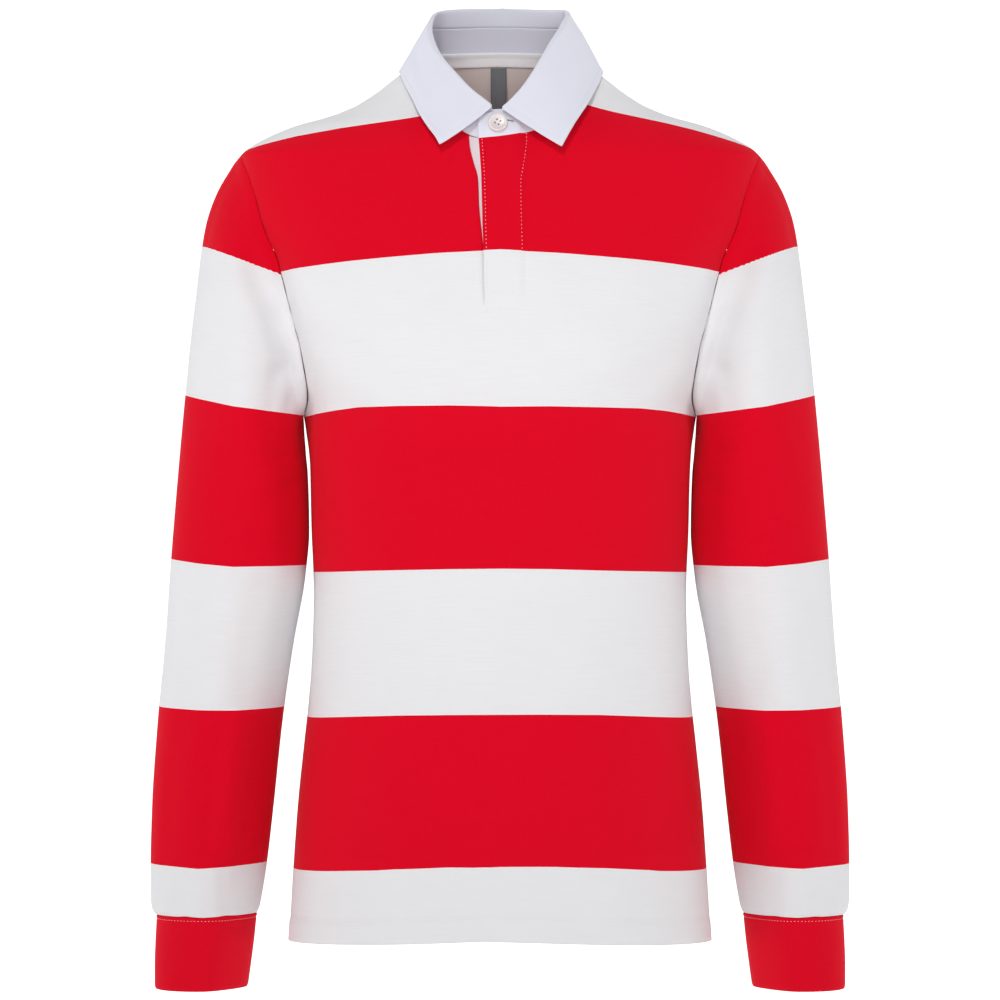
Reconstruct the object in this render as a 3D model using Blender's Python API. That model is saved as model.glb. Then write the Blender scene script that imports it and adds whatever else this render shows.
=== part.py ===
"""Long-sleeve polo shirt, filled out as if worn, built from its sewn pieces.

Metres, +Z up. The shirt faces -Y and +X is the viewer's right. The origin is
the middle of the neck at the height of the neck points, where the wearer's
shoulders carry it. Tables and sizes below are in millimetres.
"""
from math import cos, pi, radians, sin

import bmesh
import bpy
import numpy as np
from mathutils import Matrix, Vector
from mathutils.bvhtree import BVHTree

MM = 0.001

# ---------------------------------------------------------------- cloth walls
JERSEY_WALL = 1.5
CUFF_WALL = 2.0
STAND_WALL = 2.0
LEAF_WALL = 1.6
STRIP_WALL = 1.0
TAPE_WALL = 1.0
SEAM_GAP = 0.3

# ----------------------------------------------------------------- body shape
ROUNDNESS = 2.4          # exponent of the level sections: 2 is an ellipse
HEM_HEIGHT = -737.5      # at the side seams
ARMPIT = (165.0, -298.3)         # across, height
SHOULDER_POINT = (217.6, -80.4)  # across, height
ARMHOLE_DEPTH = 55.0     # half its width, front to back

# height, half width, from the hem to the armpit
SIDE_COLUMNS = ("height", "half_width")
SIDE = (
    (-745, 177.4),
    (-706, 175.2),
    (-672, 173.0),
    (-622, 169.3),
    (-571, 164.0),
    (-538, 160.4),
    (-504, 157.8),
    (-454, 156.2),
    (-391, 158.2),
    (-345, 159.3),
    (-330, 160.3),
    (-315, 162.3),
    (-304, 163.9),
    (ARMPIT[1], ARMPIT[0]),
)

# height, half width, along the top of the shoulder up to the neck
RIDGE_COLUMNS = ("height", "half_width")
RIDGE = (
    (SHOULDER_POINT[1], SHOULDER_POINT[0]),
    (-76.0, 212.5),
    (-67.0, 197.0),
    (-58.0, 176.0),
    (-47.5, 140.0),
    (-35.0, 114.5),
    (-12.6, 84.0),
    (0.0, 68.0),
    (3.0, 66.5),
    (6.0, 64.0),
    (9.5, 60.0),
)

# height, how far the chest and the back stand out from the side seams
DEPTH_COLUMNS = ("height", "front", "back")
DEPTH = (
    (-745, 122.0, 119.0),
    (-672, 121.5, 120.0),
    (-622, 120.0, 118.0),
    (-571, 117.5, 114.0),
    (-504, 114.5, 108.0),
    (-440, 113.0, 105.0),
    (-391, 114.0, 106.0),
    (-330, 117.5, 109.5),
    (-290, 121.0, 112.0),
    (-260, 124.0, 113.5),
    (-232, 125.5, 114.5),
    (-200, 122.5, 114.5),
    (-150, 111.5, 110.0),
    (-110, 98.5, 103.0),
    (-80, 86.0, 95.5),
    (-60, 74.5, 88.5),
    (-45, 65.0, 82.0),
    (-35, 57.5, 77.5),
    (-20, 44.5, 71.0),
    (-12, 34.5, 67.5),
    (0, 15.0, 64.0),
    (9.5, 10.0, 62.0),
)

# height, how far across the armhole seam lies
ARMHOLE_COLUMNS = ("height", "across")
ARMHOLE = (
    (ARMPIT[1], ARMPIT[0]),
    (-270, 166.8),
    (-248, 169.2),
    (-218, 176.2),
    (-176, 188.0),
    (-143, 196.6),
    (-109, 206.0),
    (SHOULDER_POINT[1], SHOULDER_POINT[0]),
)

# ---------------------------------------------------------- placket and neck
SLIT_BOTTOM = -212.0
LAP_LIFT = 1.5           # how far the lapping edge stands proud
LAP_FULL = 10.0          # across, where the lift starts to fall
LAP_END = 25.0           # across, where it has fallen to nothing
LAP_FADE = 12.0          # height over which it fades in above the slit

# height, where the left front's slit edge and the right front's lap edge run
SLIT_COLUMNS = ("height", "left_edge", "lap_edge")
SLIT = (
    (-745, -12.2, -12.2),
    (SLIT_BOTTOM, -12.2, -12.2),
    (-190, -13.0, -12.6),
    (-166, -13.9, -13.2),
    (-150, -15.4, -13.7),
    (-128, -17.5, -14.2),
    (-114, -18.0, -14.6),
    (-105, -18.6, -14.9),
    (-93, -22.0, -15.6),
    (-80, -25.0, -16.6),
    (-68, -26.2, -17.3),
)

# The neck seam by its turn round the neck from the centre front: its height,
# and how far it sits in or out of the body's surface. It starts at the lapping
# end, goes round by the right and ends under the lap.
NECK_HALF_WIDTH = 68.0
NECK_COLUMNS = ("turn", "height", "out")
NECK = (
    (-14.7, -73.5, 0.0),
    (2.0, -71.4, 0.0),
    (24.0, -66.0, 0.0),
    (45.0, -50.0, 0.0),
    (66.0, -25.0, 0.0),
    (90.0, 0.0, 0.0),
    (135.0, 6.4, 0.0),
    (180.0, 9.0, 0.0),
    (225.0, 6.4, 0.0),
    (270.0, 0.0, 0.0),
    (294.0, -25.0, 0.0),
    (315.0, -50.0, 0.0),
    (329.0, -63.0, 0.0),
    (337.8, -69.3, 0.0),
    (353.9, -72.4, -2.7),
    (370.0, -71.6, -3.6),
)
SLIT_TURN = 337.8        # where the left front's slit edge meets the seam

# --------------------------------------------------------------------- sleeve
# Rings down the sleeve: where the ring's outer and inner points lie, half its
# depth and how far it sits forward.
SLEEVE_COLUMNS = ("outer_across", "outer_height", "inner_across",
                  "inner_height", "half_depth", "forward")
SLEEVE = (
    (226.5, -93.0, 165.0, -301.5, 56.5, 0.0),
    (237.5, -112.0, 164.8, -305.0, 57.5, 0.0),
    (246.5, -138.0, 164.5, -309.5, 58.0, 0.0),
    (251.8, -170.0, 164.0, -315.0, 57.5, 0.0),
    (255.6, -203.0, 163.3, -322.5, 56.5, 0.5),
    (259.4, -236.0, 162.6, -332.0, 55.0, 1.0),
    (263.0, -273.0, 162.0, -346.0, 53.0, 1.5),
    (267.2, -318.0, 161.6, -366.0, 51.0, 2.5),
    (271.6, -370.0, 161.8, -396.0, 49.0, 4.0),
    (275.8, -424.0, 164.0, -437.0, 47.0, 6.0),
    (280.0, -487.0, 173.2, -491.0, 45.0, 9.0),
    (286.0, -554.0, 182.2, -554.0, 42.5, 13.0),
    (290.2, -622.0, 189.2, -622.0, 39.5, 17.0),
    (291.2, -672.0, 194.8, -672.0, 37.5, 20.0),
    (291.0, -700.0, 199.0, -700.0, 36.0, 21.5),
    (289.6, -710.4, 201.2, -710.4, 35.0, 22.0),
    (287.0, -714.5, 203.2, -714.5, 33.5, 22.0),
)
ARMHOLE_FADE = (0.85, 0.68, 0.5, 0.34, 0.2, 0.08)  # its curve dies out by ring

# Rings down the cuff, in the same columns
CUFF = (
    (286.4, -714.8, 203.5, -714.8, 33.0, 22.0),
    (287.2, -736.0, 206.0, -736.0, 32.2, 22.5),
    (287.8, -759.0, 209.0, -759.0, 31.2, 23.0),
    (287.7, -776.4, 211.4, -776.4, 30.6, 23.4),
)

# --------------------------------------------------------------------- collar
STAND_LEAN = 6.0         # inward, over its whole rise
STAND_CORNER = 9.0       # radius of the rounded corner at each end
COLLAR_AXIS = -8.0       # forward-back place of the neck's own axis

# turn round the neck, how high the stand rises there
RISE_COLUMNS = ("turn", "rise")
RISE = (
    (-14.7, 20.8),
    (0.0, 20.0),
    (8.0, 18.0),
    (20.0, 17.5),
    (38.0, 20.0),
    (60.0, 23.0),
    (80.0, 24.0),
    (300.0, 24.0),
    (322.0, 22.5),
    (340.0, 21.0),
    (370.0, 21.0),
)

LEAF_OFF_CENTRE = -2.3   # the two points meet a little to the left
LEAF_CENTRED_BY = 60.0   # turn by which the leaf is centred again
LEAF_RISE = 0.65         # its foot stands this far above the stand

# Stations round the leaf from its front end to the centre back: the top of the
# fold, the free edge, the fold's width and the sag of the run between them.
LEAF_COLUMNS = ("turn", "fold_across", "fold_forward", "fold_height",
                "edge_across", "edge_forward", "edge_height", "fold_width",
                "sag")
LEAF = (
    (0, 4.5, 75.0, -46.6, 50.0, 91.5, -79.0, 5.0, 5.0),
    (22, 23.2, 69.0, -30.5, 56.6, 84.0, -68.0, 6.0, 1.0),
    (42, 39.8, 58.0, -11.0, 63.6, 73.5, -54.0, 7.0, 0.0),
    (56, 49.0, 47.0, 1.6, 69.6, 63.0, -43.0, 7.5, 0.0),
    (76, 56.5, 23.5, 23.2, 77.8, 45.5, -27.0, 8.5, 0.0),
    (100, 58.6, -8.0, 40.8, 85.8, 3.0, -6.6, 9.0, 0.0),
    (138, 45.0, -36.0, 47.0, 73.0, -48.0, -7.0, 9.0, 0.0),
    (180, 0.0, -54.0, 49.5, 0.0, -73.5, -6.0, 9.0, 0.0),
)
# Points over the fold, in fold widths: outward, upward
FOLD_FOOT = -0.35        # where the run up from the stand ends, in the same
FOLD = ((0.2, -0.06), (0.5, 0.0), (0.82, -0.12), (1.0, -0.5))
LEAF_FALL = (0.33, 0.67, 1.0)    # rows between the fold and the free edge

# ---------------------------------------------------------- tape, label, button
FACING_WIDTH = (0.8, 18.0)       # from the lap edge in, to this far across
UNDER_WIDTH = (-6.0, 8.5)        # from the slit edge out, to this far across
STRIP_ABOVE = (8.0, 10.0)        # the strips' lower ends above the slit's
STRIP_BELOW = 1.8        # their upper ends under the neck seam
STRIP_STRAIGHT = -78.0   # from this height up they go on as they lean there
STRIP_SPAN = 8.0         # height over which that lean is taken
STRIP_LEAN = 0.08        # and they lean this much more
STRIP_ROWS = 8
STRIP_COLUMNS = 5
STRIP_SPREAD = 2.5       # they keep clear of what lies this near each side
LYING_GAP = 0.4          # between two cloths that lie on one another
TAPE_GAP = 0.95
TAPE_TURN = 85.0         # the tape runs this far each side of the centre back
TAPE_HEIGHTS = (-8.5, -1.5, 1.0, 3.0)    # of its rows over the neck seam
LABEL_SIZE = (12.6, 46.0, 1.0)   # width, drop, thickness
LABEL_ACROSS = -1.3
LABEL_FORWARD = 2.7      # of the back, at its upper end
LABEL_SLOPE = 0.2        # backward, over its drop
LABEL_ROWS = 5
BUTTON_TURN = -1.4
BUTTON_UP = 0.53         # share of the stand's rise
BUTTON_RADIUS = 8.1
BUTTON_THICKNESS = 2.7
BUTTON_DISH = 0.8
BUTTON_HOLE_RADIUS = 0.9
BUTTON_HOLE_OUT = 2.1

# --------------------------------------------------------------------- meshing
LOWER_ROWS = 11          # from the hem to the armpit
ARM_ROWS = 12            # from the armpit to the shoulder point
SLIT_ROW = 3             # of these, where the slit starts
LAP_NECK_ROW = 6         # where the right front's neckline starts
SLIT_NECK_ROW = 8        # the left front's
BACK_NECK_ROW = 7
LAP_SIDE = (0.0, 0.055, 0.11, 0.17, 0.28, 0.42, 0.56, 0.71, 0.86, 1.0)
PLAIN_SIDE = (0.0, 0.14, 0.28, 0.42, 0.56, 0.71, 0.86, 1.0)
# how much higher a course lies at the centre than at the side seam
COURSE_COLUMNS = ("height", "rise")
COURSE = (
    (-745, 9.0),
    (-672, 10.0),
    (-552, 8.5),
    (-430, 5.5),
    (ARMPIT[1], 5.0),
)

COLOURS = {
    "red": (0.74, 0.0, 0.016, 1.0),
    "white": (0.82, 0.82, 0.83, 1.0),
    "collar": (0.74, 0.75, 0.86, 1.0),
    "ribbon": (0.09, 0.1, 0.105, 1.0),
    "resin": (0.79, 0.76, 0.72, 1.0),
}


# ------------------------------------------------------------------- helpers
def smooth(table, column):
    """A smooth curve through one column of a table, without overshoot."""
    rows = sorted(table)
    xs = np.array([row[0] for row in rows], float)
    ys = np.array([row[column] for row in rows], float)
    step = np.diff(xs)
    rise = np.diff(ys) / step
    slope = np.empty_like(ys)
    slope[0], slope[-1] = rise[0], rise[-1]
    for k in range(1, len(xs) - 1):
        if rise[k - 1] * rise[k] <= 0:
            slope[k] = 0.0
            continue
        before = 2 * step[k] + step[k - 1]
        after = step[k] + 2 * step[k - 1]
        slope[k] = (before + after) / (before / rise[k - 1] + after / rise[k])

    def curve(x):
        x = min(max(x, xs[0]), xs[-1])
        k = min(int(np.searchsorted(xs, x, side="right")) - 1, len(step) - 1)
        t = (x - xs[k]) / step[k]
        return (ys[k] * (1 + 2 * t) * (1 - t) ** 2
                + slope[k] * step[k] * t * (1 - t) ** 2
                + ys[k + 1] * t * t * (3 - 2 * t)
                + slope[k + 1] * step[k] * t * t * (t - 1))
    return curve


def ease(t):
    t = min(max(t, 0.0), 1.0)
    return t * t * (3 - 2 * t)


side_width = smooth(SIDE, 1)
ridge_width = smooth(RIDGE, 1)
front_depth = smooth(DEPTH, 1)
back_depth = smooth(DEPTH, 2)
armhole_across = smooth(ARMHOLE, 1)
left_edge = smooth(SLIT, 1)
lap_edge = smooth(SLIT, 2)
neck_height = smooth(NECK, 1)
neck_out = smooth(NECK, 2)
course_rise = smooth(COURSE, 1)
stand_rise = smooth(RISE, 1)

ARMHOLE_MIDDLE = (SHOULDER_POINT[1] + ARMPIT[1]) / 2
ARMHOLE_HALF = (SHOULDER_POINT[1] - ARMPIT[1]) / 2


# ---------------------------------------------------------------- body surface
def half_width(z):
    """Half width of the body's level section, the armholes filled in."""
    if z <= ARMPIT[1]:
        return side_width(z)
    if z >= SHOULDER_POINT[1]:
        return ridge_width(z)
    up = (z - ARMHOLE_MIDDLE) / ARMHOLE_HALF
    depth = ARMHOLE_DEPTH * (1 - up * up) ** 0.5 / front_depth(z)
    return armhole_across(z) / (1 - depth ** ROUNDNESS) ** (1 / ROUNDNESS)


def body_point(turn, z, face):
    """Point at a turn (degrees) from the centre line: face -1 front, 1 back."""
    depth = front_depth(z) if face < 0 else back_depth(z)
    across = sin(radians(turn))
    inward = max(0.0, 1 - abs(across) ** ROUNDNESS) ** (1 / ROUNDNESS)
    if abs(turn) > 90:
        inward = -inward
    return np.array((half_width(z) * across, face * depth * inward, z))


def body_normal(turn, z, face):
    """Outward unit normal of the body's surface."""
    round_it = (body_point(turn + 0.6, z, face)
                - body_point(turn - 0.6, z, face))
    up_it = (body_point(turn, z + 0.6, face) - body_point(turn, z - 0.6, face))
    normal = np.cross(round_it, up_it) * -face
    return normal / np.linalg.norm(normal)


def turn_at(across, z):
    """Turn of the point that lies this far across at this height."""
    share = max(-1.0, min(1.0, across / half_width(z)))
    return float(np.degrees(np.arcsin(share)))


def lap_lift(across, z):
    """How far the right front stands proud where it laps the left."""
    over = ease((LAP_END - across) / (LAP_END - LAP_FULL))
    return LAP_LIFT * over * ease((z - SLIT_BOTTOM) / LAP_FADE)


def neck_across(turn):
    return NECK_HALF_WIDTH * sin(radians(turn))


def armhole_height(k):
    """Height of the armhole seam at row k of ARM_ROWS, from the armpit up."""
    return ARMHOLE_MIDDLE - ARMHOLE_HALF * cos(pi * k / ARM_ROWS)


# --------------------------------------------------------------------- meshing
def new_material(name, colour, roughness):
    material = bpy.data.materials.new(name)
    material.use_nodes = True
    shader = material.node_tree.nodes["Principled BSDF"]
    shader.inputs["Base Color"].default_value = COLOURS[colour]
    shader.inputs["Roughness"].default_value = roughness
    shader.inputs["Metallic"].default_value = 0.0
    return material


def add_object(name, mesh, colour, roughness=0.9):
    thing = bpy.data.objects.new(name, mesh)
    bpy.context.scene.collection.objects.link(thing)
    mesh.materials.append(new_material(name + "_cloth", colour, roughness))
    mesh.shade_smooth()
    mesh.set_sharp_from_angle(angle=radians(40))
    return thing


def turned_over(quads):
    """The same quads facing the other way, cut along the same diagonals."""
    return [(quad[0], quad[3], quad[2], quad[1]) for quad in quads]


def wall_mesh(name, points, normals, quads, wall, flip=False):
    """Closed wall: the given faces, the same faces moved in, and their rims."""
    count = len(points)
    outer = np.asarray(points)
    inner = outer - wall * np.asarray(normals)
    if flip:
        outer = outer * (-1, 1, 1)
        inner = inner * (-1, 1, 1)
        quads = turned_over(quads)
    edges = {(quad[i], quad[(i + 1) % 4]) for quad in quads for i in range(4)}
    faces = list(quads)
    faces += [tuple(count + v for v in quad) for quad in turned_over(quads)]
    faces += [(b, a, a + count, b + count) for a, b in sorted(edges)
              if (b, a) not in edges]
    mesh = bpy.data.meshes.new(name)
    mesh.from_pydata(np.vstack((outer, inner)) * MM, [], faces)
    mesh.update()
    return mesh


def grid_quads(rows, columns, closed=False, start=0):
    """Quads of a grid whose points are counted row by row."""
    quads = []
    for i in range(rows - 1):
        for j in range(columns if closed else columns - 1):
            a = start + i * columns + j
            b = start + i * columns + (j + 1) % columns
            quads.append((a, b, b + columns, a + columns))
    return quads


def cloth_wall(name, grid, wall, outward=None, flip=False):
    """Closed wall of a grid of points, its face turned the outward() way.

    With no outward() each row is a closed ring, which faces away from its
    middle.
    """
    grid = np.asarray(grid)
    closed = outward is None
    down = np.gradient(grid, axis=0)
    if closed:
        along = np.roll(grid, -1, axis=1) - np.roll(grid, 1, axis=1)
        away = grid - grid.mean(axis=1, keepdims=True)
    else:
        along = np.gradient(grid, axis=1)
        away = np.array([[outward(point) for point in row] for row in grid])
    normals = np.cross(along, down)
    normals /= np.linalg.norm(normals, axis=2, keepdims=True)
    quads = grid_quads(*grid.shape[:2], closed=closed)
    if np.sum(normals * away) < 0:
        normals = -normals
        quads = turned_over(quads)
    return wall_mesh(name, grid.reshape(-1, 3), normals.reshape(-1, 3), quads,
                     wall, flip)


# ------------------------------------------------------------ front and back
def panel_rows(edge, neck_start, neck_end, neck_row):
    """(inner across, inner height, outer turn, outer height) of each row.

    edge gives the inner edge's across at a height, up to the neck row; from
    there the inner edge follows the neck seam from one turn to the other.
    """
    rows = []
    for k in range(LOWER_ROWS):
        z = HEM_HEIGHT + (ARMPIT[1] - HEM_HEIGHT) * k / LOWER_ROWS
        inner = z + course_rise(z)
        rows.append((edge(inner), inner, 90.0, z))
    low = ARMPIT[1] + course_rise(ARMPIT[1])
    neck_top = neck_height(neck_start)
    for k in range(ARM_ROWS + 1):
        z = armhole_height(k)
        turn = 90.0 if k in (0, ARM_ROWS) else turn_at(armhole_across(z), z)
        if k <= SLIT_ROW:
            inner = low + (SLIT_BOTTOM - low) * k / SLIT_ROW
        else:
            share = (k - SLIT_ROW) / (neck_row - SLIT_ROW)
            inner = SLIT_BOTTOM + (neck_top - SLIT_BOTTOM) * min(share, 1.0)
        across = edge(inner)
        if k >= neck_row:
            share = (k - neck_row) / (ARM_ROWS - neck_row)
            at = neck_start + (neck_end - neck_start) * share
            across = neck_across(at) * (-1 if neck_start > 180 else 1)
            inner = neck_height(at)
        rows.append((across, inner, turn, z))
    return rows


def panel_side(rows, columns, face, lifted):
    """Points and normals of one half of a panel, drawn on the +X side."""
    points = []
    normals = []
    for across, inner, outer_turn, outer in rows:
        start = turn_at(across, inner)
        for u in columns:
            turn = start + (outer_turn - start) * u
            z = inner + (outer - inner) * u
            point = body_point(turn, z, face)
            normal = body_normal(turn, z, face)
            if lifted:
                point = point + lap_lift(point[0], z) * normal
            point[1] += face * SEAM_GAP / 2
            points.append(point)
            normals.append(normal)
    return np.array(points), np.array(normals)


def mirror_x(points):
    return points * (-1, 1, 1)


def panel(name, right, left, shared, face):
    """Panel of two halves, which share their inner column up to a row.

    Each half is its column shares, its points and its normals, drawn on the
    +X side.
    """
    right_columns, right_points, right_normals = right
    left_columns, left_points, left_normals = left
    start = len(right_points)
    width = len(left_columns)
    rows = len(left_points) // width
    quads = grid_quads(rows, len(right_columns))
    for quad in turned_over(grid_quads(rows, width, start=start)):
        placed = []
        for v in quad:
            row, column = divmod(v - start, width)
            on_centre = column == 0 and row <= shared
            placed.append(row * len(right_columns) if on_centre else v)
        quads.append(tuple(placed))
    points = np.vstack((right_points, mirror_x(left_points)))
    normals = np.vstack((right_normals, mirror_x(left_normals)))
    used = sorted({v for quad in quads for v in quad})
    place = {v: n for n, v in enumerate(used)}
    quads = [tuple(place[v] for v in quad) for quad in quads]
    if face > 0:
        quads = turned_over(quads)
    return wall_mesh(name, points[used], normals[used], quads, JERSEY_WALL)


def build_front():
    right_rows = panel_rows(lap_edge, NECK[0][0], 90.0, LAP_NECK_ROW)
    left_rows = panel_rows(lambda z: -left_edge(z), SLIT_TURN, 270.0,
                           SLIT_NECK_ROW)
    mesh = panel("front",
                 (LAP_SIDE, *panel_side(right_rows, LAP_SIDE, -1, True)),
                 (PLAIN_SIDE, *panel_side(left_rows, PLAIN_SIDE, -1, False)),
                 LOWER_ROWS + SLIT_ROW, -1)
    add_object("front", mesh, "red")


def build_back():
    rows = panel_rows(lambda z: 0.0, 180.0, 90.0, BACK_NECK_ROW)
    half = (PLAIN_SIDE, *panel_side(rows, PLAIN_SIDE, 1, False))
    mesh = panel("back", half, half, LOWER_ROWS + BACK_NECK_ROW, 1)
    add_object("back", mesh, "red")


# ---------------------------------------------------------- sleeves and cuffs
def armhole_ring():
    """The armhole seam's points, round from the shoulder by the front."""
    ring = []
    for j in range(2 * ARM_ROWS):
        k = ARM_ROWS - j if j <= ARM_ROWS else j - ARM_ROWS
        face = -1 if j <= ARM_ROWS else 1
        z = armhole_height(k)
        turn = 90.0 if k in (0, ARM_ROWS) else turn_at(armhole_across(z), z)
        ring.append(body_point(turn, z, face))
    return np.array(ring)


def flat_ring(row):
    """A ring of the sleeve or cuff from its table row."""
    outer_x, outer_z, inner_x, inner_z, depth, forward = row
    ring = []
    for j in range(2 * ARM_ROWS):
        angle = pi * j / ARM_ROWS
        share = (1 + cos(angle)) / 2
        ring.append((inner_x + (outer_x - inner_x) * share,
                     -forward - depth * sin(angle),
                     inner_z + (outer_z - inner_z) * share))
    return np.array(ring)


def sleeve_grid():
    seam = armhole_ring()
    straight = flat_ring((*SHOULDER_POINT, *ARMPIT, ARMHOLE_DEPTH, 0.0))
    rings = [seam + (SEAM_GAP, 0, 0)]
    for i, row in enumerate(SLEEVE):
        ring = flat_ring(row)
        if i < len(ARMHOLE_FADE):
            ring = ring + (seam - straight) * ARMHOLE_FADE[i] * (1, 0, 1)
        rings.append(ring)
    return np.array(rings)


def build_sleeves():
    rings = sleeve_grid()
    cuff = np.array([flat_ring(row) for row in CUFF])
    for side, flip in (("right", False), ("left", True)):
        mesh = cloth_wall("sleeve_" + side, rings, JERSEY_WALL, flip=flip)
        add_object("sleeve_" + side, mesh, "white")
        mesh = cloth_wall("cuff_" + side, cuff, CUFF_WALL, flip=flip)
        add_object("cuff_" + side, mesh, "red")


# --------------------------------------------------------------------- collar
def neck_stations():
    """Turns round the neck at which the panels have their points."""
    right = np.linspace(NECK[0][0], 90, ARM_ROWS - LAP_NECK_ROW + 1)
    back = np.linspace(90, 270, 2 * (ARM_ROWS - BACK_NECK_ROW) + 1)
    left = np.linspace(270, SLIT_TURN, ARM_ROWS - SLIT_NECK_ROW + 1)
    under = np.linspace(SLIT_TURN, NECK[-1][0], 3)
    return [*right[:-1], *back, *left[1:], *under[1:]]


def seam_station(turn):
    """Point of the neck seam at one of the panels' own points."""
    face = 1 if 90 < turn < 270 else -1
    z = neck_height(turn)
    across = neck_across(turn)
    at = turn_at(across, z)
    out = neck_out(turn)
    if turn < 90:
        out += lap_lift(across, z)
    point = body_point(at, z, face) + out * body_normal(at, z, face)
    return point + (0, face * SEAM_GAP / 2, 0)


def seam_point(turn):
    """Point of the neck seam, on the straight run between two stations."""
    stations = neck_stations()
    k = min(max(int(np.searchsorted(stations, turn)), 1), len(stations) - 1)
    before, after = stations[k - 1], stations[k]
    share = (turn - before) / (after - before)
    return (seam_station(before) * (1 - share) + seam_station(after) * share)


def outward(point):
    """Level direction from the neck's axis to a point."""
    away = np.array((point[0], point[1] - COLLAR_AXIS, 0.0))
    return away / np.linalg.norm(away)


def forward(_point):
    return np.array((0.0, -1.0, 0.0))


def stand_point(turn, share, lost=0.0):
    """Outer face of the collar stand, share of the way up its rise."""
    foot = seam_point(turn)
    share = share * (1 - lost / stand_rise(turn))
    climb = SEAM_GAP + stand_rise(turn) * share
    return foot + (0, 0, climb) - STAND_LEAN * share * outward(foot)


def build_stand():
    stations = neck_stations()
    first, last = stations[0], stations[-1]
    corner = np.degrees(STAND_CORNER / NECK_HALF_WIDTH)
    cuts = [corner * share for share in (0.15, 0.35, 0.62, 1.0)]
    turns = sorted(stations + [first + cut for cut in cuts]
                   + [last - cut for cut in cuts])
    grid = []
    for share in (0.0, 0.5, 1.0):
        row = []
        for turn in turns:
            end = radians(min(turn - first, last - turn)) * NECK_HALF_WIDTH
            drop = max(0.0, STAND_CORNER - end)
            lost = STAND_CORNER - (STAND_CORNER ** 2 - drop ** 2) ** 0.5
            row.append(stand_point(turn, share, lost))
        grid.append(row)
    mesh = cloth_wall("collar_stand", grid, STAND_WALL, outward)
    add_object("collar_stand", mesh, "collar", 0.8)


def leaf_column(stand_turn, turn, side):
    """Path of the leaf from the stand up, over the fold and down to its edge."""
    values = [smooth(LEAF, c)(turn) for c in range(1, len(LEAF_COLUMNS))]
    fold = np.array((values[0], -values[1], values[2]))
    edge = np.array((values[3], -values[4], values[5]))
    width, sag = values[6], values[7]
    fold[0] += LEAF_OFF_CENTRE * side * max(0.0, 1 - turn / LEAF_CENTRED_BY)
    out = outward(fold)
    top = stand_point(stand_turn, 1.0) * (side, 1, 1)
    foot = top - (STAND_WALL + 0.1) * outward(top) + (0, 0, LEAF_RISE)
    path = [foot, np.array((*foot[:2], fold[2] + width * FOLD_FOOT))]
    for away, up in FOLD:
        path.append(fold + out * width * away + (0, 0, width * up))
    start = path[-1]
    knee = start + (edge - start) * 0.5 + out * 0.8 - (0, 0, sag)
    for t in LEAF_FALL:
        path.append(start * (1 - t) ** 2 + knee * 2 * t * (1 - t)
                    + edge * t * t)
    return np.array(path) * (side, 1, 1)


def build_leaf():
    stations = neck_stations()[1:-1]
    columns = []
    for stand_turn in stations:
        side = 1 if stand_turn <= 180 else -1
        end = stations[0] if side > 0 else 360 - stations[-1]
        turn = stand_turn if side > 0 else 360 - stand_turn
        turn = 180 * (turn - end) / (180 - end)
        columns.append(leaf_column(stand_turn, turn, side))
    mesh = cloth_wall("collar_leaf", columns, LEAF_WALL, outward)
    add_object("collar_leaf", mesh, "collar", 0.8)


# ---------------------------------------------- pieces lying inside the others
def walls(*names):
    """Search trees of finished pieces."""
    trees = []
    for name in names:
        mesh = bpy.data.objects[name].data
        mesh.calc_loop_triangles()
        trees.append(BVHTree.FromPolygons(
            [vertex.co for vertex in mesh.vertices],
            [tuple(face.vertices) for face in mesh.loop_triangles]))
    return trees


def reach(trees, start, direction):
    """How far it is from start to the first of the walls, or None."""
    hits = [tree.ray_cast(Vector(start) * MM, Vector(direction))[3]
            for tree in trees]
    hits = [hit / MM for hit in hits if hit is not None]
    return min(hits) if hits else None


def neck_line(x, under):
    """Height of the neck seam where it crosses the front this far across."""
    turn = float(np.degrees(np.arcsin(x / NECK_HALF_WIDTH)))
    return seam_point(360 + turn if under else turn)[2]


def cloth_ahead(trees, x, z):
    """How far forward the nearest wall is round a place, or None."""
    near = [reach(trees, (x + aside, 0, z), (0, -1, 0))
            for aside in (-STRIP_SPREAD, 0, STRIP_SPREAD)]
    return min((far for far in near if far is not None), default=None)


def strip_wall(name, trees, left, right, bottom, under):
    """Upright strip that lies inside the front, up to the neck seam."""
    grid = []
    for i in range(STRIP_ROWS + 1):
        places = []
        found = []
        z = bottom
        for j in range(STRIP_COLUMNS + 1):
            for _ in range(3):
                x = left(z) + (right - left(z)) * j / STRIP_COLUMNS
                top = neck_line(x, under) - STRIP_BELOW
                z = bottom + (top - bottom) * i / STRIP_ROWS
            places.append((x, z))
            level = min(z, STRIP_STRAIGHT)
            far = cloth_ahead(trees, x, level)
            if far is not None and z > level:
                below = cloth_ahead(trees, x, level - STRIP_SPAN)
                lean = (below - far) / STRIP_SPAN + STRIP_LEAN
                far -= lean * (z - level)
            found.append(far)
        hit = [k for k, far in enumerate(found) if far is not None]
        far = np.interp(range(len(found)), hit, [found[k] for k in hit])
        grid.append([(x, LYING_GAP - y, z) for (x, z), y in zip(places, far)])
    mesh = cloth_wall(name, grid, STRIP_WALL, forward)
    add_object(name, mesh, "white", 0.8)


def build_placket():
    strip_wall("placket_facing", walls("front"),
               lambda z: lap_edge(z) + FACING_WIDTH[0], FACING_WIDTH[1],
               SLIT_BOTTOM + STRIP_ABOVE[0], False)
    strip_wall("placket_under", walls("front", "placket_facing"),
               lambda z: left_edge(z) + UNDER_WIDTH[0], UNDER_WIDTH[1],
               SLIT_BOTTOM + STRIP_ABOVE[1], True)


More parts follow.
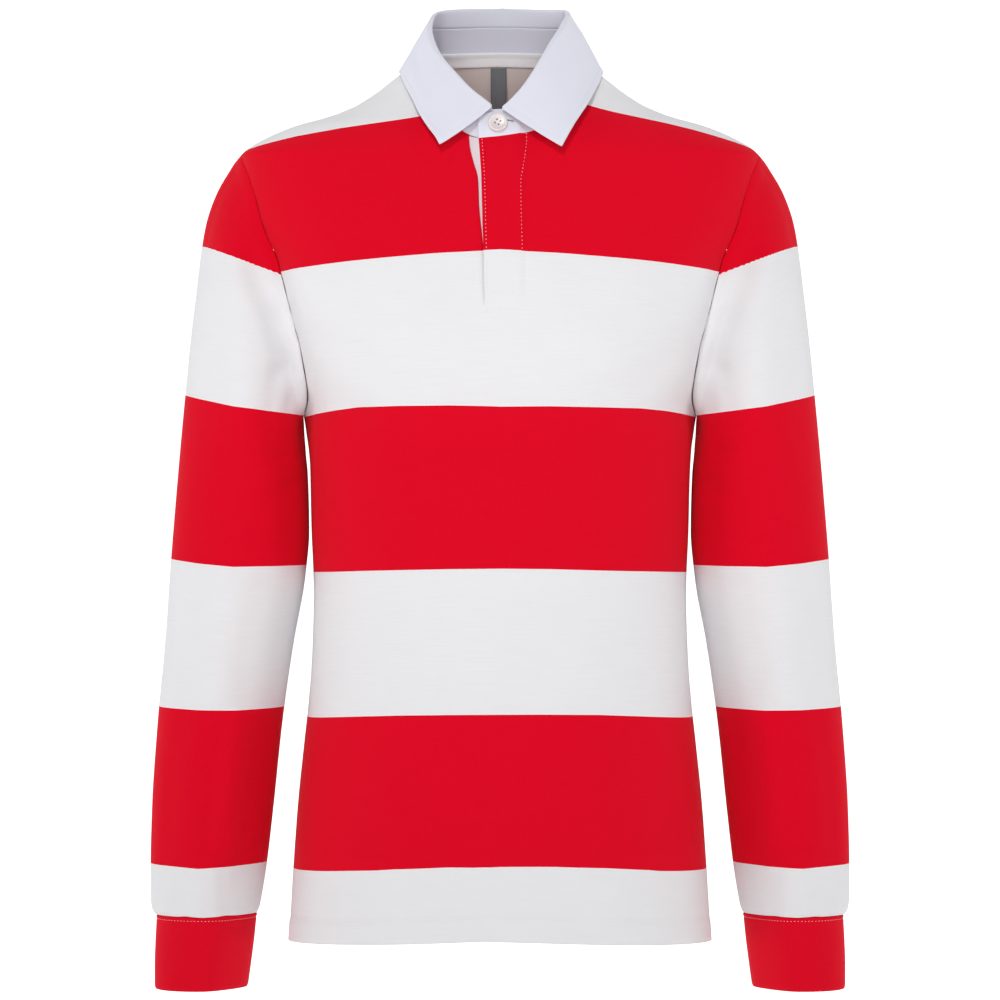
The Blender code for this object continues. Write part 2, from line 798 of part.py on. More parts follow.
def build_tape():
    trees = walls("back", "front", "collar_stand")
    ends = (180 - TAPE_TURN, 180 + TAPE_TURN)
    turns = [turn for turn in neck_stations() if ends[0] < turn < ends[1]]
    grid = []
    for height in TAPE_HEIGHTS:
        row = []
        for turn in (ends[0], *turns, ends[1]):
            seam = seam_point(turn)
            out = outward(seam)
            axis = np.array((0.0, COLLAR_AXIS, seam[2] + height))
            far = reach(trees, axis, out) - TAPE_GAP
            row.append(axis + out * far)
        grid.append(row)
    mesh = cloth_wall("neck_tape", grid, TAPE_WALL, outward)
    add_object("neck_tape", mesh, "collar", 0.8)


def build_label():
    width, drop, wall = LABEL_SIZE
    top = neck_height(180) + TAPE_HEIGHTS[0] - 2.5 * SEAM_GAP
    start = reach(walls("back"), (LABEL_ACROSS, 0, top), (0, 1, 0))
    grid = []
    for i in range(LABEL_ROWS + 1):
        down = drop * i / LABEL_ROWS
        y = start - LABEL_FORWARD + LABEL_SLOPE * down
        grid.append([(LABEL_ACROSS + side * width / 2, y, top - down)
                     for side in (1, 0, -1)])
    mesh = cloth_wall("label", grid, wall, forward)
    add_object("label", mesh, "ribbon", 0.6)


def build_button():
    """A dished disc with four holes, its back just clear of the stand."""
    radius, thick = BUTTON_RADIUS * MM, BUTTON_THICKNESS * MM
    dish = BUTTON_DISH * MM
    profile = ((0.0, 0.0), (0.86, 0.0), (1.0, 0.35), (1.0, 0.7), (0.9, 1.0),
               (0.76, 1.0), (0.62, None), (0.0, None))
    mesh = bpy.data.meshes.new("button")
    form = bmesh.new()
    ring = [form.verts.new((r * radius, 0,
                            thick - dish if up is None else up * thick))
            for r, up in profile]
    edges = [form.edges.new(pair) for pair in zip(ring, ring[1:])]
    bmesh.ops.spin(form, geom=ring + edges, cent=(0, 0, 0), axis=(0, 0, 1),
                   angle=2 * pi, steps=24, use_merge=True)
    bmesh.ops.remove_doubles(form, verts=form.verts, dist=1e-6)
    bmesh.ops.recalc_face_normals(form, faces=form.faces)
    form.to_mesh(mesh)
    form.free()
    disc = add_object("button", mesh, "resin", 0.35)

    foot = stand_point(BUTTON_TURN, BUTTON_UP)
    right = stand_point(BUTTON_TURN + 3, BUTTON_UP) - foot
    up = stand_point(BUTTON_TURN, BUTTON_UP + 0.1) - foot
    face = np.cross(right, up)
    face /= np.linalg.norm(face)
    place = Vector((foot + face * 0.35) * MM)
    turn = Vector(face).to_track_quat("Z", "Y").to_matrix().to_4x4()
    disc.matrix_world = Matrix.Translation(place) @ turn

    cutter_mesh = bpy.data.meshes.new("button_holes")
    form = bmesh.new()
    for n in range(4):
        angle = radians(28 + 90 * n)
        out = BUTTON_HOLE_OUT * MM
        at = Matrix.Translation((out * cos(angle), out * sin(angle), thick / 2))
        bmesh.ops.create_cone(form, cap_ends=True, segments=8,
                              radius1=BUTTON_HOLE_RADIUS * MM,
                              radius2=BUTTON_HOLE_RADIUS * MM,
                              depth=3 * thick, matrix=at)
    form.to_mesh(cutter_mesh)
    form.free()
    cutter = bpy.data.objects.new("button_holes", cutter_mesh)
    bpy.context.scene.collection.objects.link(cutter)
    cutter.hide_render = True
    cutter.display_type = "WIRE"
    cutter.matrix_world = disc.matrix_world
    holes = disc.modifiers.new("holes", "BOOLEAN")
    holes.operation = "DIFFERENCE"
    holes.object = cutter
    holes.solver = "EXACT"


def main():
    for thing in list(bpy.data.objects):
        bpy.data.objects.remove(thing, do_unlink=True)
    build_front()
    build_back()
    build_sleeves()
    build_stand()
    build_leaf()
    build_placket()
    build_tape()
    build_label()
    build_button()


main()
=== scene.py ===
"""Looks of the long-sleeve polo shirt: fine cloth shells, weaves and stitches.

Tables and sizes are in millimetres and the meshes in metres, +Z up. The shirt
faces -Y and +X is the viewer's right.
"""

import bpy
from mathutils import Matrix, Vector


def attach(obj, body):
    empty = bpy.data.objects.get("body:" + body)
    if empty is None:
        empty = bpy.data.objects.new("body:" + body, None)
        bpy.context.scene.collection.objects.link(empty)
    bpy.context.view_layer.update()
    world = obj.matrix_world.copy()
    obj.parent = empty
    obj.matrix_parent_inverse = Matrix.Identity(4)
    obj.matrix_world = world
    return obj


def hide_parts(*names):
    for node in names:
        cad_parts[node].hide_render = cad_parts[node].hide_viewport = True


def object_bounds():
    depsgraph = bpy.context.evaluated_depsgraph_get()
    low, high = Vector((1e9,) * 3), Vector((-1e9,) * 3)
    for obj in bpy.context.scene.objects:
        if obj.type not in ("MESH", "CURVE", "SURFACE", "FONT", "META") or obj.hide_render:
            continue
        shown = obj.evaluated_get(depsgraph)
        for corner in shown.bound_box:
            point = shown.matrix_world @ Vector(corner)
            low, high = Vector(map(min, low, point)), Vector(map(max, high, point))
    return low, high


bl_info = {
    "name": "Hooped Polo Shirt",
    "version": (1, 0, 0),
    "blender": (4, 5, 0),
    "location": "3D View > Sidebar > Polo Shirt",
    "description": "Builds a long-sleeve polo shirt with hoops and a collar",
    "category": "Add Mesh",
}

from math import cos, pi, radians, sin

import bmesh
import bpy
import numpy as np
from bpy.props import (FloatProperty, FloatVectorProperty, IntProperty,
                       PointerProperty)
from mathutils import Matrix, Vector
from mathutils.bvhtree import BVHTree

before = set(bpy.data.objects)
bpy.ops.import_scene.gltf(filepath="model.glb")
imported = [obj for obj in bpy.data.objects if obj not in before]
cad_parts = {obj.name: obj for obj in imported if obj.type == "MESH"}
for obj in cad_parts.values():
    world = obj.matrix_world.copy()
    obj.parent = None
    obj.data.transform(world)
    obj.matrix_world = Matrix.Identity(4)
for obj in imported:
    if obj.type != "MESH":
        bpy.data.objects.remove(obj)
CAD_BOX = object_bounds()

MM = 0.001
MILLE = 1000.0

# ----------------------------------------------------------------- body shape
ROUNDNESS = 2.4          # exponent of the level sections: 2 is an ellipse
HEM_HEIGHT = -737.5      # at the side seams
ARMPIT = (165.0, -298.3)         # across, height
SHOULDER_POINT = (217.6, -80.4)  # across, height
ARMHOLE_DEPTH = 55.0     # half its width, front to back

SIDE_COLUMNS = ("height", "half_width")
SIDE = (
    (-745, 177.4), (-706, 175.2), (-672, 173.0), (-622, 169.3),
    (-571, 164.0), (-538, 160.4), (-504, 157.8), (-454, 156.2),
    (-391, 158.2), (-345, 159.3), (-330, 160.3), (-315, 162.3),
    (-304, 163.9), (ARMPIT[1], ARMPIT[0]),
)
RIDGE_COLUMNS = ("height", "half_width")
RIDGE = (
    (SHOULDER_POINT[1], SHOULDER_POINT[0]), (-76.0, 212.5), (-67.0, 197.0),
    (-58.0, 176.0), (-47.5, 140.0), (-35.0, 114.5), (-12.6, 84.0),
    (0.0, 68.0), (3.0, 66.5), (6.0, 64.0), (9.5, 60.0),
)
DEPTH_COLUMNS = ("height", "front", "back")
DEPTH = (
    (-745, 122.0, 119.0), (-672, 121.5, 120.0), (-622, 120.0, 118.0),
    (-571, 117.5, 114.0), (-504, 114.5, 108.0), (-440, 113.0, 105.0),
    (-391, 114.0, 106.0), (-330, 117.5, 109.5), (-290, 121.0, 112.0),
    (-260, 124.0, 113.5), (-232, 125.5, 114.5), (-200, 122.5, 114.5),
    (-150, 111.5, 110.0), (-110, 98.5, 103.0), (-80, 86.0, 95.5),
    (-60, 74.5, 88.5), (-45, 65.0, 82.0), (-35, 57.5, 77.5),
    (-20, 44.5, 71.0), (-12, 34.5, 67.5), (0, 15.0, 64.0),
    (9.5, 10.0, 62.0),
)
ARMHOLE_COLUMNS = ("height", "across")
ARMHOLE = (
    (ARMPIT[1], ARMPIT[0]), (-270, 166.8), (-248, 169.2), (-218, 176.2),
    (-176, 188.0), (-143, 196.6), (-109, 206.0),
    (SHOULDER_POINT[1], SHOULDER_POINT[0]),
)
COURSE_COLUMNS = ("height", "rise")
COURSE = ((-745, 9.0), (-672, 10.0), (-552, 8.5), (-430, 5.5),
          (ARMPIT[1], 5.0))

# Where the hoops change colour: the height at the centre line, then how far
# the line droops at each of these shares of the way out to the sides.
HOOP_PITCH = 125.0       # from one line to the next, on average
HOOP_SHARES = (-1.0, -0.85, -0.7, -0.5, -0.25, 0.0,
               0.25, 0.5, 0.7, 0.85, 1.0)
HOOPS = (
    (-48.0, 30.0, 20.8, 14.6, 8.5, 0.0, 0.0, -14.0, -8.5, 3.5, 14.5, 29.0),
    (-166.0, 18.0, 13.6, 11.0, 7.6, 3.0, 0.0, 3.2, 7.6, 11.0, 13.8, 18.0),
    (-294.2, 6.0, 2.6, -0.3, -1.2, -1.3, 0.0, -0.6, 0.0, 0.6, 2.8, 6.0),
    (-424.8, 5.0, 3.9, 2.9, 2.0, 1.1, 0.7, 1.1, 2.3, 3.2, 3.9, 5.0),
    (-544.0, 6.4, 4.2, 2.6, 1.1, 0.3, 0.0, 0.0, 0.6, 2.4, 4.2, 6.4),
    (-666.5, 10.4, 8.6, 6.3, 3.8, 1.8, 1.2, 1.5, 3.2, 5.8, 8.4, 10.4),
    (-728.4, 8.9, 5.6, 4.0, 2.0, 0.5, 0.0, 0.5, 2.0, 4.0, 5.6, 8.9),
)
# The topmost line again, as it runs over the back.
BACK_TOP_HOOP = (-48.0, 30.0, 21.5, 14.5, 7.0, 1.6, 0.0, 1.6, 7.0, 14.5,
                 21.0, 29.0)
# The same on the sleeve: the line's height at these places across.
SLEEVE_HOOP_ACROSS = (160.0, 190.0, 220.0, 250.0, 290.0)
SLEEVE_HOOPS = (
    (60.0, 60.0, 60.0, 60.0, 60.0),
    (-192.0, -180.2, -168.6, -156.8, -141.0),
    (-299.4, -296.0, -292.2, -285.6, -275.0),
    (-424.0, -424.6, -425.0, -422.4, -417.0),
    (-542.0, -542.8, -543.7, -543.3, -541.6),
    (-670.0, -671.8, -674.0, -675.0, -672.8),
    (-722.0, -722.0, -722.0, -722.0, -722.0),
)

# ---------------------------------------------------------- placket and neck
SLIT_BOTTOM = -212.0
LAP_LIFT = 1.5           # how far the lapping edge stands proud
LAP_FULL = 15.5          # across, where the lift starts to fall
LAP_END = 20.5           # across, where it has fallen to nothing
LAP_FADE = 12.0          # height over which it fades in above the slit
PLACKET_BOTTOM = -216.0
SLIT_COLUMNS = ("height", "left_edge", "lap_edge")
SLIT = (
    (-745, -12.2, -12.2), (SLIT_BOTTOM, -12.2, -12.2), (-190, -13.0, -12.6),
    (-166, -13.9, -13.2), (-150, -15.4, -13.7), (-128, -17.5, -14.2),
    (-114, -18.0, -14.6), (-105, -18.6, -14.9), (-93, -22.0, -15.6),
    (-80, -25.0, -16.6), (-68, -26.2, -17.3),
)
AHEAD = -250.0           # a place in front of all the cloth
BOX_DENT = -201.5        # the dent over the stitched box at the slit's foot
BOX_ROWS = (-201.0, -215.0)      # the box's two level rows of stitches
# The placket's second upright row of stitches, right of the lapping edge.
PLACKET_LINE_COLUMNS = ("height", "across")
PLACKET_LINE = ((-201, 18.0), (-163, 18.0), (-134.6, 17.2), (-108.5, 17.0),
                (-101, 18.2), (-86, 20.6), (-75, 21.8))
NECK_HALF_WIDTH = 68.0
NECK_COLUMNS = ("turn", "height", "out")
NECK = (
    (-14.7, -73.5, 0.0), (2.0, -71.4, 0.0), (24.0, -66.0, 0.0),
    (45.0, -50.0, 0.0),
    (66.0, -25.0, 0.0), (90.0, 0.0, 0.0), (135.0, 6.4, 0.0),
    (180.0, 9.0, 0.0), (225.0, 6.4, 0.0), (270.0, 0.0, 0.0),
    (294.0, -25.0, 0.0), (315.0, -50.0, 0.0), (329.0, -63.0, 0.0),
    (337.8, -69.3, 0.0), (353.9, -72.4, -2.7), (370.0, -71.6, -3.6),
)
SLIT_TURN = 337.8        # where the left front's slit edge meets the seam

# --------------------------------------------------------------------- sleeve
SLEEVE_COLUMNS = ("outer_across", "outer_height", "inner_across",
                  "inner_height", "half_depth", "forward")
SLEEVE = (
    (226.5, -93.0, 165.0, -301.5, 56.5, 0.0),
    (237.5, -112.0, 164.8, -305.0, 57.5, 0.0),
    (246.5, -138.0, 164.5, -309.5, 58.0, 0.0),
    (251.8, -170.0, 164.0, -315.0, 57.5, 0.0),
    (255.6, -203.0, 163.3, -322.5, 56.5, 0.5),
    (259.4, -236.0, 162.6, -332.0, 55.0, 1.0),
    (263.0, -273.0, 161.2, -346.0, 53.0, 1.5),
    (267.2, -318.0, 160.3, -366.0, 51.0, 2.5),
    (271.6, -370.0, 159.7, -396.0, 49.0, 4.0),
    (275.8, -424.0, 163.4, -437.0, 47.0, 6.0),
    (280.0, -487.0, 173.2, -491.0, 45.0, 9.0),
    (286.0, -554.0, 182.2, -554.0, 42.5, 13.0),
    (290.2, -622.0, 189.2, -622.0, 39.5, 17.0),
    (291.2, -672.0, 194.8, -672.0, 37.5, 20.0),
    (291.0, -700.0, 199.0, -700.0, 36.0, 21.5),
    (289.6, -710.4, 201.2, -710.4, 35.0, 22.0),
    (287.0, -714.5, 203.2, -714.5, 33.5, 22.0),
)
FOREARM_TURN = 13.0      # how far the sleeve's inner side is set back
ARMHOLE_FADE = (0.85, 0.68, 0.5, 0.34, 0.2, 0.08)
CUFF = (
    (286.4, -714.8, 203.5, -714.8, 33.0, 22.0),
    (287.2, -736.0, 206.0, -736.0, 32.2, 22.5),
    (287.8, -759.0, 209.0, -759.0, 31.2, 23.0),
    (287.7, -776.4, 211.4, -776.4, 30.6, 23.4),
)

# --------------------------------------------------------------------- collar
STAND_LEAN = 6.0         # inward, over its whole rise
STAND_CORNER = 8.0       # radius of the rounded corner at each end
COLLAR_AXIS = -8.0       # forward-back place of the neck's own axis
RISE_COLUMNS = ("turn", "rise")
RISE = (
    (-14.7, 20.8), (0.0, 20.0), (8.0, 18.0), (20.0, 17.5), (38.0, 20.0),
    (60.0, 23.0), (80.0, 24.0), (300.0, 24.0), (322.0, 22.5),
    (340.0, 21.0), (350.0, 22.5), (356.0, 25.0), (370.0, 25.5),
)
# Round each half of the leaf from its front end to the centre back, by the
# turn of the stand there: the inner side and top of the fold, the free edge,
# the fold's width and the sag of the cloth between them.
LEAF_COLUMNS = ("turn", "fold_across", "fold_forward", "fold_height",
                "edge_across", "edge_forward", "edge_height", "fold_width",
                "sag")
LEAF_RIGHT = (
    (2.8, 2.0, 76.5, -46.2, 50.2, 97.0, -80.0, 4.0, 1.5),
    (6.5, 7.0, 74.5, -41.5, 54.2, 93.5, -72.5, 4.5, 1.0),
    (16.5, 17.0, 69.0, -30.0, 61.5, 85.0, -59.5, 5.0, 1.0),
    (35.0, 30.0, 57.5, -9.0, 72.5, 67.0, -42.0, 6.0, 0.0),
    (55.5, 40.0, 42.0, 10.0, 79.8, 43.5, -27.5, 6.5, 0.0),
    (77.3, 50.0, 21.0, 28.0, 85.0, 18.0, -15.5, 6.5, 0.0),
    (91.0, 55.0, 0.0, 39.5, 87.0, -2.0, -10.0, 5.0, 0.0),
    (115.0, 52.5, -23.0, 45.0, 81.0, -30.0, -8.5, 5.5, 0.0),
    (139.5, 38.5, -42.5, 47.5, 59.0, -57.0, -8.0, 8.5, 0.0),
    (161.5, 19.5, -53.0, 49.3, 29.0, -69.0, -7.3, 8.5, 0.0),
    (180.0, 0.0, -56.5, 50.2, 0.0, -73.5, -7.0, 8.5, 0.0),
)
LEAF_LEFT = (
    (6.1, 6.8, 76.0, -44.6, 49.1, 96.0, -78.3, 4.0, 3.0),
    (11.0, 12.0, 73.5, -40.0, 52.5, 93.0, -72.0, 4.5, 2.0),
    (21.0, 21.5, 68.5, -32.0, 58.5, 86.0, -63.8, 5.0, 1.0),
    (40.0, 36.0, 58.5, -15.5, 67.0, 73.5, -50.0, 6.0, 0.0),
    (55.2, 46.0, 47.5, -2.5, 73.0, 58.0, -37.0, 6.5, 0.0),
    (70.5, 53.0, 31.0, 12.0, 79.0, 39.0, -25.0, 7.5, 0.0),
    (83.0, 56.5, 14.0, 26.5, 83.2, 20.0, -14.5, 6.0, 0.0),
    (92.0, 55.5, 3.0, 34.5, 84.6, 3.0, -10.5, 4.5, 0.0),
    (101.0, 54.0, -9.0, 39.5, 83.5, -15.0, -8.5, 4.0, 0.0),
    (128.0, 46.0, -35.0, 46.0, 63.0, -53.0, -8.2, 6.5, 0.0),
    (157.0, 24.0, -50.5, 49.3, 30.0, -68.5, -7.3, 8.5, 0.0),
    (180.0, 0.0, -56.5, 50.2, 0.0, -73.5, -7.0, 8.5, 0.0),
)
FOLD_PROFILE = ((0.0, -0.32), (0.08, -0.14), (0.22, -0.04), (0.4, 0.0),
                (0.58, -0.01), (0.76, -0.08), (0.9, -0.24), (1.0, -0.5))

# ---------------------------------------------------------- tape, label, button
TAPE_TURN = 85.0         # the tape's half span round the neck
LABEL_WIDTH = 12.6
LABEL_DROP = 46.0
LABEL_ACROSS = -1.3
BUTTON_TURN = -1.4
BUTTON_UP = 0.53
BUTTON_RADIUS = 8.1
BUTTON_THICKNESS = 2.7


# ------------------------------------------------------------------- helpers
def linear(code):
    """An sRGB hex colour as the linear numbers that the shaders take."""
    parts = [int(code[i:i + 2], 16) / 255 for i in (0, 2, 4)]
    return tuple(c / 12.92 if c <= 0.04045 else ((c + 0.055) / 1.055) ** 2.4
                 for c in parts)


def smooth(table, column):
    """A smooth curve through one column of a table, without overshoot."""
    rows = sorted(table)
    xs = np.array([row[0] for row in rows], float)
    ys = np.array([row[column] for row in rows], float)
    step = np.diff(xs)
    rise = np.diff(ys) / step
    slope = np.empty_like(ys)
    slope[0], slope[-1] = rise[0], rise[-1]
    for k in range(1, len(xs) - 1):
        if rise[k - 1] * rise[k] <= 0:
            slope[k] = 0.0
            continue
        before = 2 * step[k] + step[k - 1]
        after = step[k] + 2 * step[k - 1]
        slope[k] = (before + after) / (before / rise[k - 1] + after / rise[k])

    def curve(x):
        x = np.clip(x, xs[0], xs[-1])
        k = np.clip(np.searchsorted(xs, x, side="right") - 1, 0, len(step) - 1)
        t = (x - xs[k]) / step[k]
        return (ys[k] * (1 + 2 * t) * (1 - t) ** 2
                + slope[k] * step[k] * t * (1 - t) ** 2
                + ys[k + 1] * t * t * (3 - 2 * t)
                + slope[k + 1] * step[k] * t * t * (t - 1))
    return curve


def ease(t):
    t = np.clip(t, 0.0, 1.0)
    return t * t * (3 - 2 * t)


def unit(vectors):
    length = np.linalg.norm(vectors, axis=-1, keepdims=True)
    return vectors / np.maximum(length, 1e-9)


side_width = smooth(SIDE, 1)
ridge_width = smooth(RIDGE, 1)
front_depth = smooth(DEPTH, 1)
back_depth = smooth(DEPTH, 2)
armhole_across = smooth(ARMHOLE, 1)
left_edge = smooth(SLIT, 1)
lap_edge = smooth(SLIT, 2)
neck_height = smooth(NECK, 1)
neck_out = smooth(NECK, 2)
course_rise = smooth(COURSE, 1)
stand_rise = smooth(RISE, 1)
placket_line = smooth(PLACKET_LINE, 1)
ARMHOLE_MIDDLE = (SHOULDER_POINT[1] + ARMPIT[1]) / 2
ARMHOLE_HALF = (SHOULDER_POINT[1] - ARMPIT[1]) / 2


# ---------------------------------------------------------------- body surface
def half_width(z):
    """Half width of the body's level section, the armholes filled in."""
    up = np.clip((z - ARMHOLE_MIDDLE) / ARMHOLE_HALF, -1, 1)
    depth = ARMHOLE_DEPTH * (1 - up * up) ** 0.5 / front_depth(z)
    filled = armhole_across(z) / (1 - depth ** ROUNDNESS) ** (1 / ROUNDNESS)
    return np.where(z <= ARMPIT[1], side_width(z),
                    np.where(z >= SHOULDER_POINT[1], ridge_width(z), filled))


def body_point(turn, z, face):
    """Points at turns (degrees) from the centre line: face -1 front, 1 back."""
    depth = front_depth(z) if face < 0 else back_depth(z)
    across = np.sin(np.radians(turn))
    inward = np.maximum(0.0, 1 - np.abs(across) ** ROUNDNESS)
    inward = inward ** (1 / ROUNDNESS)
    return np.stack((half_width(z) * across, face * depth * inward,
                     np.broadcast_to(z, np.shape(across * z))), axis=-1)


def body_normal(turn, z, face):
    round_it = (body_point(turn + 0.6, z, face)
                - body_point(turn - 0.6, z, face))
    up_it = body_point(turn, z + 0.6, face) - body_point(turn, z - 0.6, face)
    return unit(np.cross(round_it, up_it) * -face)


def turn_at(across, z):
    """Turn of the point that lies this far across at this height."""
    share = np.clip(across / half_width(z), -1.0, 1.0)
    return np.degrees(np.arcsin(share))


def lap_lift(across, z):
    """How far the right front stands proud where it laps the left."""
    over = ease((LAP_END - across) / (LAP_END - LAP_FULL))
    return LAP_LIFT * over * ease((z - SLIT_BOTTOM) / LAP_FADE)


def neck_across(turn):
    return NECK_HALF_WIDTH * np.sin(np.radians(turn))


def stack(heights, z):
    """Where z lies among falling lines: line k reads k, and halves between."""
    value = np.full(np.shape(z), -1.0)
    for k in range(len(heights) - 1):
        share = (heights[k] - z) / (heights[k] - heights[k + 1])
        value = np.where(share >= 0, k + share, value)
    value = np.where(value < 0, (heights[0] - z) / HOOP_PITCH, value)
    return np.minimum(value, len(heights) - 1.02)


def body_hoops(points):
    """Hoop number of points on the body: it changes colour at whole numbers."""
    z = points[..., 2]
    share = np.clip(points[..., 0] / half_width(z), -1, 1)
    heights = [row[0] - np.interp(share, HOOP_SHARES, row[1:])
               for row in (BACK_TOP_HOOP, *HOOPS)]
    behind = heights.pop(0)
    heights[0] = np.where(points[..., 1] > 0, behind, heights[0])
    return stack(heights, z)


def sleeve_hoops(points):
    across = np.abs(points[..., 0])
    heights = [np.interp(across, SLEEVE_HOOP_ACROSS, row)
               for row in SLEEVE_HOOPS]
    return stack(heights, points[..., 2])


# --------------------------------------------------------------------- creases
CREASE_COLUMNS = ("from_across", "from_height", "to_across", "to_height",
                  "bow", "width", "rise")
FRONT_CREASES = (
    # the two broad swells of the chest, the hollow between and under them
    (-116, -214, -90, -246, 0, 50, 6.2),
    (118, -212, 94, -244, 0, 50, 6.0),
    (-4, -190, -2, -262, 0, 30, -1.8),
    (-140, -306, -10, -308, -6, 26, -3.4),
    (-10, -308, 138, -304, -6, 26, -3.4),
    (78, -22, 124, -46, 3, 4, -1.0),
    (-92, -28, -128, -50, -3, 5, -0.8),
    # drag lines out of the armpits
    (-158, -232, -84, -276, 6, 13, -1.6),
    (160, -236, 88, -281, 6, 14, -1.5),
    (-158, -262, -112, -318, 5, 12, -1.2),
    (159, -266, 108, -322, 5, 12, -1.2),
    (-160, -310, -128, -362, 4, 13, 0.9),
    (160, -306, 130, -356, 4, 13, 0.9),
    # waist and skirt
    (-146, -430, -60, -446, 5, 16, -0.8),
    (142, -436, 52, -452, 5, 17, -0.8),
    (-120, -480, -20, -472, -4, 20, 0.7),
    (-20, -520, 40, -560, 4, 50, 1.6),
    (-6, -752, 26, -748, 0, 70, -10.0),
    (-70, -560, -96, -700, 6, 26, 1.2),
    (88, -566, 112, -698, -6, 26, 1.2),
    (-130, -600, -150, -716, 4, 18, -1.1),
    (134, -606, 152, -712, -4, 18, -1.1),
    (-150, -662, -60, -672, 4, 8, 0.7),
    (60, -668, 150, -660, 4, 8, 0.7),
    (-60, -690, 60, -694, 4, 7, 0.5),
    (-140, -704, -30, -699, 3, 6, 0.5),
    (24, -706, 140, -702, -3, 6, 0.5),
)
BACK_CREASES = (
    (-96, -160, -88, -214, 0, 48, 3.0),
    (92, -158, 90, -212, 0, 48, 3.2),
    (0, -110, 0, -300, 0, 26, -1.6),
    (-156, -236, -84, -292, 6, 14, -1.7),
    (157, -232, 80, -284, 6, 14, -1.8),
    (-150, -398, -40, -424, 7, 17, -1.5),
    (148, -408, 36, -432, 7, 17, -1.4),
    (-118, -452, 14, -466, 5, 15, -1.1),
    (120, -474, 2, -486, 5, 15, -1.0),
    (-132, -430, -20, -444, 5, 15, 0.9),
    (-80, -560, -104, -708, 5, 26, 1.1),
    (76, -556, 104, -704, -5, 26, 1.0),
    (0, -590, -6, -716, 3, 34, -1.4),
)
# On the sleeve, across is from -1 at the inner side to 1 at the outer one.
SLEEVE_CREASE_COLUMNS = ("from_across", "from_height", "to_across",
                         "to_height", "bow", "width", "rise")
SLEEVE_FRONT_CREASES = (
    (-0.60, -176, -0.46, -262, 0.05, 0.17, -2.4),
    (-0.46, -262, -0.52, -330, 0.06, 0.16, -2.2),
    (-0.78, -262, -0.66, -330, 0.04, 0.12, -1.4),
    (0.10, -190, 0.02, -320, 0.06, 0.30, 1.5),
    (0.62, -230, 0.70, -330, 0.0, 0.20, -0.8),
    (1.0, -90, 1.0, -170, 0.0, 0.36, -3.0),
    (-0.86, -352, -0.30, -376, 0.02, 0.12, -0.9),
    (-0.70, -396, -0.10, -418, 0.02, 0.14, -0.8),
    (0.16, -410, 0.10, -520, 0.05, 0.26, 1.2),
    (-0.42, -430, -0.34, -540, 0.06, 0.18, -1.2),
    (0.58, -452, 0.50, -566, 0.05, 0.16, -0.8),
    (-0.14, -540, -0.02, -655, 0.05, 0.13, -1.6),
    (-0.32, -548, -0.42, -650, 0.05, 0.16, 1.5),
    (0.30, -552, 0.24, -668, 0.05, 0.20, 1.3),
    (0.66, -580, 0.70, -690, 0.0, 0.14, -0.8),
    (-0.70, -560, -0.58, -700, 0.04, 0.16, -1.4),
    (-0.28, -650, -0.44, -712, 0.03, 0.12, -1.1),
    (0.08, -664, 0.02, -714, 0.03, 0.14, 0.9),
    (0.42, -676, 0.36, -714, 0.02, 0.10, -0.8),
)
SLEEVE_BACK_CREASES = (
    (-0.56, -170, -0.44, -266, 0.05, 0.18, -2.2),
    (-0.44, -266, -0.56, -340, 0.06, 0.16, -1.9),
    (0.08, -200, 0.12, -330, 0.06, 0.30, 1.3),
    (-0.80, -388, 0.20, -408, 0.03, 0.14, -1.4),
    (-0.60, -424, 0.40, -440, 0.03, 0.14, -1.3),
    (-0.30, -404, 0.60, -420, 0.02, 0.12, 0.9),
    (0.30, -470, 0.22, -590, 0.05, 0.20, 1.3),
    (-0.30, -500, -0.20, -640, 0.06, 0.16, -1.4),
    (0.56, -600, 0.62, -700, 0.0, 0.14, -0.9),
    (-0.66, -590, -0.54, -704, 0.04, 0.16, -1.4),
    (0.02, -650, 0.08, -713, 0.03, 0.14, 1.0),
)
LEAF_CREASES = (
    (-78, -8, -62, -40, 2, 6, 0.9),
    (-71, 4, -66, -28, 2, 4, -0.7),
    (74, -8, 66, -34, -2, 6, -0.8),
    (66, 22, 72, -8, 2, 5, 0.7),
    (-52, -20, -34, -52, 2, 9, 0.6),
    (50, -24, 34, -56, -2, 9, 0.6),
)
# The hollow in front of each armpit, across in mm: both pieces share it.
ARMPIT_HOLLOW = ((196, -176, 168, -292, 5, 21, -7.0),)
SLEEVE_HALF = 50.0       # mm that an across of 1 stands for in a crease
# Drag lines that follow the armhole seam, with across in mm from the middle.
SLEEVE_DRAGS = (
    (207, -168, 184, -216, 2, 12, -3.2),
    (184, -216, 166, -258, 2, 12, -3.4),
    (166, -258, 161, -310, 2, 11, -3.0),
    (214, -186, 211, -292, 3, 15, 2.0),
    (172, -330, 170, -400, 2, 12, -1.8),
)


def creases(table, across, height, scale=1.0):
    """Rise of the soft troughs and ridges at places across and up the cloth."""
    rise = np.zeros(np.shape(across))
    for from_x, from_z, to_x, to_z, bow, width, depth in table:
        start = np.array((from_x * scale, from_z))
        run = np.array((to_x * scale, to_z)) - start
        length = np.hypot(*run)
        run = run / length
        dx = across * scale - start[0]
        dz = height - start[1]
        along = (dx * run[0] + dz * run[1]) / length
        inside = np.clip(along, 0, 1)
        aside = dz * run[0] - dx * run[1]
        aside = aside - bow * scale * 4 * inside * (1 - inside)
        width = width * scale
        beyond = (along - inside) * length
        rise += depth * np.exp(-(aside ** 2 + beyond ** 2) / width ** 2)
    return rise


def armpit_hollow(points):
    """Share of the hollow at points of the body, none at the side seam."""
    deep = creases(ARMPIT_HOLLOW, np.abs(points[..., 0]), points[..., 2])
    return deep * ease(np.abs(points[..., 1]) / 34)


